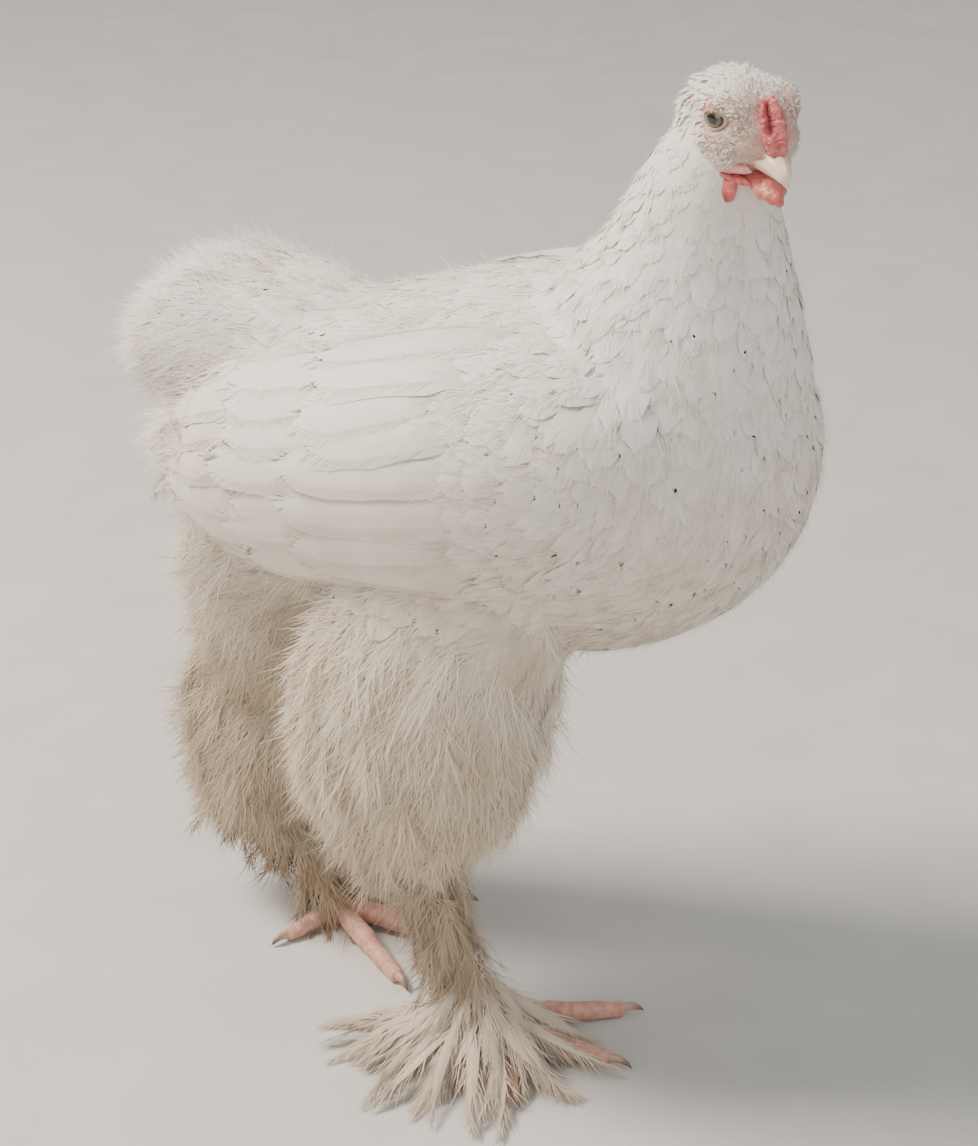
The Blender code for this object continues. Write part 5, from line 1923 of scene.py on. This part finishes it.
    def lids(self, side: Side, finish: bpy.types.Material) -> None:
        """Builds the lids round one eye as a fold of skin.

        Rings run from just inside the opening, on the eyeball, over a rounded rim and two fine
        folds out to the face, each ring being the opening's oval made larger.

        Args:
            side: Which eye.
            finish: The lids' material.
        """
        turn = np.arange(self.lid_sides) * 2 * np.pi / self.lid_sides
        scale, proud = np.array(self.lid_rings).T[..., None]
        out, ahead, up = self.eye_axes(side)
        across = scale * self.opening[0] * np.cos(turn)
        high = scale * self.opening[1] * np.sin(turn) * np.where(np.sin(turn) > 0, 0.76, 1.0)
        reach = (self.eye_radius + self.lid_gap) ** 2
        rise = np.sqrt(np.clip(reach - across**2 - high**2, 4.0, None))
        ball = (self.eye_centre(side) + rise[..., None] * out + across[..., None] * ahead
                + high[..., None] * up)
        face = ball.copy()
        face[..., 0] = side.value * self.side_reach(ball[..., 1], ball[..., 2])
        share = (blend(1.1, 1.65, scale) * np.ones_like(across))[..., None]
        crease = 0.14 * np.sin(turn * 20 + 3 * scale) * blend(1.15, 1.5, scale)
        away = out * (1 - share) + np.array((side.value, 0, 0)) * share
        local = ball * (1 - share) + face * share + away * (proud + crease)[..., None]
        faces = grid_faces(len(scale), self.lid_sides, wrap=True)[:, ::-int(side.value)]
        obj = new_mesh("Eyelids_" + side.word, HEAD_FRAME.row(local).reshape(-1, 3), faces)
        rear = bell(turn - math.radians(150), 0.95) * blend(1.05, 1.2, scale)
        put_values(obj, "red", np.clip(0.85 * rear + 0.12, 0, 1).ravel())
        # painted shade on the upper lid, under the brow ridge, carried in the speckle mark with the
        # real grey speckle
        brow_shade = 0.95 * (blend(0.2, 0.9, np.sin(turn)) * blend(1.0, 1.1, scale))
        speck = np.maximum(0.75 * (1 - rear) * blend(1.2, 1.5, scale), brow_shade)
        put_values(obj, "speck", speck.ravel())
        seat(obj, finish, "comb_skin")

    def comb(self, finish: bpy.types.Material) -> None:
        """Builds the comb: a knobbly ridge down the forehead with a deep groove beside it."""
        keys, angles = around(COMB.keys[0], COMB.keys[-1], *self.comb_grid)
        knob = 0.5 + 0.5 * np.cos(2 * np.pi * (keys / 5.2 + 0.35 * np.sin(keys * 0.45)))
        base = COMB.at(keys, angles)
        ridge = bell(angles - 74, 20) * (1.2 + 1.0 * knob)
        groove = bell(angles - 122, 15) * blend(1, 5, keys) * (1 - blend(17, 22, keys))
        rim = bell(angles - 158, 13) * (0.6 + 0.7 * (1 - knob))
        flap = bell(angles - 128, 24) * bell(keys - 26, 3.5)
        lift = (ridge - 1.6 * groove + rim + 1.3 * flap + 0.4 + 0.45 * noise(base, 0.0022, 4)
                + 0.2 * noise(base, 0.0009, 6))
        # dark is painted shade: darker in the groove and between the knobs, lighter on the flap; it
        # is stored as the deep mark
        dark = np.clip(groove + 0.35 * (1 - knob) * (1 - ridge) - 0.6 * flap, 0, 1)
        obj = COMB.shell("Comb", COMB.at(keys, angles, lift * MM))
        put_values(obj, "deep", np.append(dark, (0.5, 0.5)))
        seat(obj, finish, "comb_skin", "comb")

    def beak_relief(self, upper: bool, keys: np.ndarray, angles: np.ndarray,
                    base: np.ndarray) -> np.ndarray:
        """Finds the beak's relief in millimetres.

        The upper half has a nostril with a rim on each side and a ridge on top, the lower one is
        lumpy, and both have a cutting edge.
        """
        folded = HEAD_FRAME.folded(base)
        lift = 0.12 * noise(base, 0.0025, 8)
        if upper:
            hole = (folded - np.array((6.4, 32.0, -0.6))) / np.array((2.0, 2.6, 1.2))
            rim = (folded - np.array((6.4, 31.5, 1.2))) / np.array((2.5, 3.4, 1.0))
            lift = lift - 1.5 * bell(np.linalg.norm(hole, axis=-1), 1)
            lift = lift + 0.7 * bell(np.linalg.norm(rim, axis=-1), 1)
            lift = lift + 0.5 * bell(angles - 90, 16) * blend(26, 34, keys)
        else:
            lift = lift + 1.9 * noise(base, 0.0052, 13) + 0.6 * noise(base, 0.0022, 14)
        return lift + 0.35 * bell((angles + 18) % 180 - 18, 10)

    def beak(self) -> None:
        """Builds the two halves of the beak."""
        upper = BeakHorn("Beak_Keratin", "E6C2AE", "C98A7C", "F0DCC8").build()
        lower = BeakHorn("Lower_Beak_Keratin", "D9877C", "C25A53", "CB6A60", roughness=0.42).build()
        for name, form, finish in (("upper", BEAK_UPPER, upper), ("lower", BEAK_LOWER, lower)):
            start, end = form.keys[0], form.keys[-1]
            keys, angles = around(start, end, *self.beak_grid)
            lift = self.beak_relief(name == "upper", keys, angles, form.at(keys, angles))
            obj = form.shell("Beak_" + name, form.at(keys, angles, lift * MM))
            put_values(obj, "along", np.append((keys - start) / (end - start), (0.0, 1.0)))
            seat(obj, finish, "beak_horn", "beak_" + name)

    def plumage(self, surface: Surface, finish: bpy.types.Material,
                draw: np.random.Generator) -> None:
        """Lays the tiny feathers over crown, cheeks and nape, sparse where the face is grey.

        Eye, comb, mouth and beak stay bare. The feathers grow longer towards neck and nape.
        """
        roots = surface.scatter(self.feather_spacing, draw)
        folded = HEAD_FRAME.folded(roots.places)
        side, ahead, up = folded.T
        eye = np.hypot(ahead - 12.5, (up - 12) * 1.05)
        bare = (eye < 7.8) & (side > 10)
        bare |= (side < 5.0) & (ahead > 23.5)
        bare |= (ahead > 6.5) & (up < -9.5) & (up > -18)
        bare |= ahead > 27 - 0.25 * np.abs(up - 8)
        grey = spots(folded, self.greys).max(axis=0)
        keep = ~bare & (draw.random(len(eye)) > 0.5 * grey)
        roots, grey, ahead, up = roots.pick(keep), grey[keep], ahead[keep], up[keep]
        rear = blend(6, -14, ahead)
        along = turn_row(-HEAD_FRAME.axes()[1] - (0.5 + 1.6 * rear)[:, None] * UP)
        grown = np.maximum(blend(18, -22, ahead), 0.8 * blend(2, -16, up) * blend(13, 4, ahead))
        count = len(grown)
        length = (2.9 - 1.2 * grey + 6.4 * grown + 4.0 * rear) * MM
        length = length * draw.uniform(0.75, 1.25, count)
        half = (0.75 - 0.2 * grey + 1.7 * grown) * MM * draw.uniform(0.8, 1.2, count)
        rise = 0.24 * draw.uniform(0.5, 1.8, count)
        tan = np.where(draw.random(count) < 0.55 * grey, 0.9, 0.25 * grey)
        quills = Quills.lying(roots, along, length, rise, tan, draw, surface, rows=4, wild=0.35,
                              sink=0.0004, hug=1 - 0.9 * rear)
        batch = Batch.join([quills.vanes(half * 0.75, draw, self.vane),
                            quills.barbs(half, draw, self.barb)])
        batch.build("HeadFeathers", finish, "feathers")

    def build(self, draw: np.random.Generator) -> None:
        """Builds the whole head."""
        surface = self.face()
        self.eyes()
        # the last colour is for random darker spots, and for the painted shade in the comb's groove
        red = BareSkin("Comb_Skin", "DE8580", "C4545A", "8F2A35", grain_mm=0.8).build()
        mouth = BareSkin("Mouth_Skin", "EAC0B4", "DE9C90", "C4655E", grain_mm=0.6,
                         spot_low=0.68).build()
        self.comb(red)
        self.beak()
        for side in Side:
            for part in (WATTLE, LOBE, LIP, GAPE):
                part.build(side, mouth if part is LIP else red)
        # the darker root colour is painted shade where the tiny feathers overlap
        plume = FeatherKeratin(name="Head_Feather_Keratin", root="D9D0C8", stain="A2907F",
                               stain_tip="8A7867", barb_mm=0.3)
        self.plumage(surface, plume.build(), draw)


@dataclass
class Foot:
    """One foot: scaled toes, claws, and the feathers that fan out over it.

    toes are the body places of each toe's middle and tip. fan is the feathers' tiers: the
    bearings of the first and last one, their reach, how many, and their half width.
    """

    side: Side
    toes: tuple
    fan: tuple
    names: tuple = ("inner", "middle", "outer", "rear")
    claws: tuple = (13, 14, 12, 12)
    radii: tuple = (6.4, 7.0, 6.2, 5.6)
    ankle: float = 12.0
    toe_grid: tuple = (110, 40)
    claw_grid: tuple = (26, 24)
    voxel: float = 0.0009
    plate_mm: float = 3.0
    lowest: float = 0.0002
    rows: int = 8
    vane_share: float = 0.34
    vane: VaneShape = VaneShape(cup=0.2, ragged=0.3, blunt=0.3)
    barb: BarbShape = BarbShape(130, 0.06, 0.0006, slant=30, loose=0.4, droop=0.2)

    def toe(self, i: int) -> tuple[Form, np.ndarray]:
        """Builds one toe's form, from the ball of the foot to the claw, and its heading."""
        start = (*FEET[self.side], self.ankle)
        at = np.array((0.0, 0.35, 0.7, 1.0))
        spine = hermite(np.array((0.0, 0.55, 1.0)), np.array((start, *self.toes[i]), float), at)
        thick = self.radii[i] * (1.1 - 0.36 * at)
        spine[:, 2] = np.maximum(spine[:, 2] * (1 - at) + (thick - 0.6) * at, thick - 0.6)
        stations = np.column_stack([at, spine, thick, thick, thick])
        ahead = unit(spine[3] - spine[2])
        tips = (np.array(start) - ahead * 4.0, spine[3] + ahead * 3.0)
        return Form(stations, tips, tuple(unit(np.cross(ahead, UP)))), ahead

    def scaled(self, i: int) -> tuple[np.ndarray, np.ndarray]:
        """Builds one toe with plates across its top and small scales along its sides."""
        form, _ = self.toe(i)
        keys, angles = around(0, 1, *self.toe_grid)
        length = np.linalg.norm(form.spine[-1] - form.spine[0]) / MM
        turned = -1 if form.at(0.5, 90.0)[2] < form.at(0.5, 270.0)[2] else 1
        top = np.clip(turned * np.sin(np.radians(angles)), 0, 1)
        plate = (keys * length / self.plate_mm) % 1.0
        grain = 0.3 * noise(form.at(keys, angles), 0.0016, 11)
        knuckle = 0.7 * bell(keys - 0.5, 0.08) + 0.5 * bell(keys - 0.8, 0.06)
        lift = top * (0.5 * plate**0.6 - 0.2) + (1 - top) * grain + knuckle - 0.4
        grid = form.at(keys, angles, lift * MM)
        grid[..., 2] = np.maximum(grid[..., 2], self.lowest)
        return np.concatenate([grid.reshape(-1, 3), form.ends]), ring_faces(*self.toe_grid)

    def claw(self, i: int) -> tuple[np.ndarray, np.ndarray]:
        """Builds one claw, curving down from the end of its toe."""
        form, ahead = self.toe(i)
        end = form.ends[1] / BODY_TO_ROW - ahead * 3.0
        ahead = unit(ahead * np.array((1.0, 1.0, 0.0)))
        length = self.claws[i]
        stations = [(t, *(end + ahead * length * t - UP * drop), thick * 0.85, thick, thick)
                    for t, thick, drop in ((0.0, 2.8, -1.2), (0.5, 2.2, -1.2), (0.85, 1.1, 0.8))]
        last = end + ahead * length - UP * (end[2] - 1.4)
        tips = (end - ahead * 2.0 + UP, last)
        return Form(stations, tips, tuple(np.cross(ahead, UP))).closed(*self.claw_grid)

    def build(self, surface: Surface, skin: bpy.types.Material, horn: bpy.types.Material,
              plume: bpy.types.Material, draw: np.random.Generator) -> None:
        """Builds the foot.

        Args:
            surface: The body's skin.
            skin: The toes' material.
            horn: The claws' material.
            plume: The feathers' material.
            draw: The random numbers.
        """
        word = self.side.word
        toes = range(len(self.toes))
        foot = fuse("Toes_" + word, [self.scaled(i) for i in toes], self.voxel, 1)
        put_values(foot, "deep", np.clip(0.5 * noise(vertex_places(foot), 0.006, 12), 0, 1))
        seat(foot, skin, "foot_scales", "foot_" + word)
        rings, sides = self.claw_grid
        for i in toes:
            places, faces = self.claw(i)
            claw = new_mesh(f"Claw_{self.names[i]}_{word}", places, outward(places, faces))
            along = np.repeat(np.linspace(0, 1, rings), sides)
            put_values(claw, "along", np.append(along, (0.0, 1.0)))
            seat(claw, horn, "claw_horn", f"claw_{self.names[i]}_{word}")
        self.feathers(surface, plume, draw)

    def feathers(self, surface: Surface, finish: bpy.types.Material,
                 draw: np.random.Generator) -> None:
        """Fans the foot's feathers out over the toes, in tiers that droop to the ground.

        Args:
            surface: the surface that the feathers ride on.
            finish: the material.
            draw: the random draws.
        """
        batches = []
        centre = np.array((*FEET[self.side], 0.0))
        t = np.linspace(0, 1, self.rows)[None, :]
        for tier, (low, high, reach, count, wide) in enumerate(self.fan):
            bearing = np.radians(np.linspace(low, high, count) + draw.uniform(-11, 11, count))
            aside = self.side.value * np.cos(bearing)
            out = np.stack([aside, np.sin(bearing), 0 * bearing], axis=1)
            across = np.stack([-out[:, 1], out[:, 0], out[:, 2]], axis=1)
            long = reach * draw.uniform(0.6, 1.1, count)
            bend = (draw.uniform(-0.4, 0.4, count) * long)[:, None]
            top = (20 + 9 * tier + draw.uniform(-4, 6, count))[:, None]
            end = (draw.uniform(2.5, 8.0, count) + 3 * tier)[:, None]
            line = centre + out[:, None] * (long[:, None] * (0.08 + 0.92 * t))[..., None]
            line = line + across[:, None] * (bend * t * t)[..., None]
            line[..., 2] = top * (1 - t) ** 1.3 * (1 + 1.3 * t) + end * t**1.5
            line = to_row(line)
            heading = unit(np.gradient(line, axis=1))
            flat = unit(np.cross(heading, UP))
            roll = draw.normal(0, 0.35, (count, 1, 1))
            flat = flat * np.cos(roll) + np.cross(flat, heading) * np.sin(roll)
            normal = np.cross(flat, heading)
            quills = Quills(line, normal, np.cross(normal, heading), surface.nearest(line[:, 0]),
                            draw.random(count), draw.uniform(0.2, 0.65, count))
            half = np.full(count, wide * MM) * draw.uniform(0.8, 1.2, count)
            batches += [quills.vanes(half * self.vane_share, draw, self.vane),
                        quills.barbs(half, draw, self.barb)]
        Batch.join(batches).build("FootFeathers_" + self.side.word, finish, "fluff")


def matrix_of(x_axis: np.ndarray, y_axis: np.ndarray, z_axis: np.ndarray) -> Matrix:
    """Makes a turn from the three directions that its axes take."""
    return Matrix(np.stack([x_axis, y_axis, z_axis], axis=1).tolist())


def aim(obj: bpy.types.Object, place: Sequence[float], side: np.ndarray, back: np.ndarray) -> None:
    """Puts an object at a place, turned by where its right and its rear point.

    Args:
        obj: the object.
        place: its place in metres.
        side: direction of its right.
        back: direction of its rear.
    """
    obj.location = place
    obj.rotation_mode = "QUATERNION"
    obj.rotation_quaternion = matrix_of(side, np.cross(back, side), back).to_quaternion()


@dataclass(frozen=True)
class Studio:
    """The plain floor, the soft lights and the camera at the photograph's place.

    Each light is (name, place in metres, side in metres, watts, sRGB hex colour). The lens is the
    focal length in pixels of the photograph, turned into millimetres of the sensor.
    """

    camera_place: tuple = (-1.1971, -0.7008, 0.9027)
    back: tuple = (-0.7849, -0.4532, 0.4226)
    right: tuple = (0.5, -0.866, 0.0)
    sensor: float = 36
    focal_pixels: float = 2900
    target: tuple = (0.0, 0.0, 0.3)
    floor_grid: tuple = (60, 12)
    floor_half: float = 6
    sky: str = "ECECEC"
    sky_strength: float = 0.52
    lights: tuple = (
        ("Key", (-0.7, 1.5, 2.3), 1.0, 125, "FFF3E4"),
        ("Fill", (-2.2, -1.2, 1.3), 2.0, 20, "F8F4F0"),
        ("Front", (0.8, -2.4, 1.6), 2.0, 12, "FFFFFF"),
    )

    def floor(self) -> None:
        """Builds a wide flat floor of matt painted board, faintly mottled."""
        rows, cols = self.floor_grid
        half = self.floor_half
        x = np.linspace(-half, half, cols)[None, :] * np.ones((rows, 1))
        y = np.linspace(-half, half, rows)[:, None] * np.ones((1, cols))
        grid = np.stack([x, y, 0 * x], axis=-1)
        obj = new_mesh("Floor", grid.reshape(-1, 3), grid_faces(rows, cols))
        nodes = Nodes("Matt_Painted_Floor")
        colour = nodes.ramp(nodes.noise(14.0, 4.0), (0.3, "CFCECA"), (0.7, "D6D5D2"))
        obj.data.materials.append(nodes.finish(colour, {"Roughness": 0.85}))

    def build(self) -> None:
        """Builds floor, lights, sky and camera."""
        self.floor()
        for name, place, size, power, code in self.lights:
            lamp = bpy.data.lights.new(name, "AREA")
            lamp.size = size
            lamp.energy = power
            lamp.color = srgb(code)[:3]
            away = unit(np.array(place) - np.array(self.target))
            aim(link(name, lamp), place, unit(np.cross(UP, away)), away)
        world = bpy.data.worlds.new("Soft_Sky")
        world.use_nodes = True
        sky = world.node_tree.nodes["Background"]
        sky.inputs["Color"].default_value = srgb(self.sky)
        sky.inputs["Strength"].default_value = self.sky_strength
        bpy.context.scene.world = world
        camera = bpy.data.cameras.new("PhotoCamera")
        camera.lens = self.sensor * self.focal_pixels / PHOTO_SIZE[1]
        camera.sensor_width = self.sensor
        obj = link("PhotoCamera", camera)
        aim(obj, self.camera_place, unit(self.right), unit(self.back))
        bpy.context.scene.camera = obj


def main() -> None:
    """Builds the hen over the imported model."""
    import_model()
    draw = np.random.default_rng(SEED)
    surface = Body().build(draw)
    # the wing and tail vanes' darker root colour is painted shade where each tier overlaps the next
    vane = FeatherKeratin(name="Wing_Feather_Keratin", root="CCC2B9", sheen=0.2,
                          roughness=0.6).build()
    for side in Side:
        Wings().build(side, surface, vane, draw)
    Tail().build(surface, vane, draw)
    Head().build(draw)
    skin = BareSkin("Toe_Skin", "DDAE9C", "C8917F", "96695A", grain_mm=1.4, roughness=0.5,
                    spot_low=0.66, bump=0.0006).build()
    horn = BeakHorn("Claw_Keratin", "B79A86", "C9A48F", "7A6352").build()
    # the darker root colour is painted shade where the plumes overlap; the stain colours are real
    # dirt
    plume = FeatherKeratin(name="Foot_Plumes", root="C9BAA8", middle="E4DACC", tip="F0E8DC",
                           stain="9C7F62", stain_tip="7D6046", warm="D9CBB7",
                           stain_strength=0.8).build()
    feet = (
        Foot(Side.RIGHT, (((-12, 60, 12), (13, 87, 6)), ((-40, 70, 13), (-34, 103, 6)),
                          ((-67, 55, 12), (-86, 74, 6)), ((-48, 6, 10), (-53, -14, 6))),
             ((-80, 100, 84, 22, 9), (-70, 90, 66, 18, 9), (-50, 70, 44, 12, 8))),
        Foot(Side.LEFT, (((-2, -70, 11), (-21, -38, 6)), ((24, -64, 12), (29, -26, 6)),
                         ((44, -76, 11), (68, -50, 6)), ((1, -110, 9), (-15, -116, 6))),
             ((-60, 66, 60, 14, 7), (-40, 50, 44, 10, 7))),
    )
    for foot in feet:
        foot.build(surface, skin, horn, plume, draw)
    Studio().build()


if __name__ == "__main__":
    logging.basicConfig(level=logging.INFO, format="%(message)s")
    main()
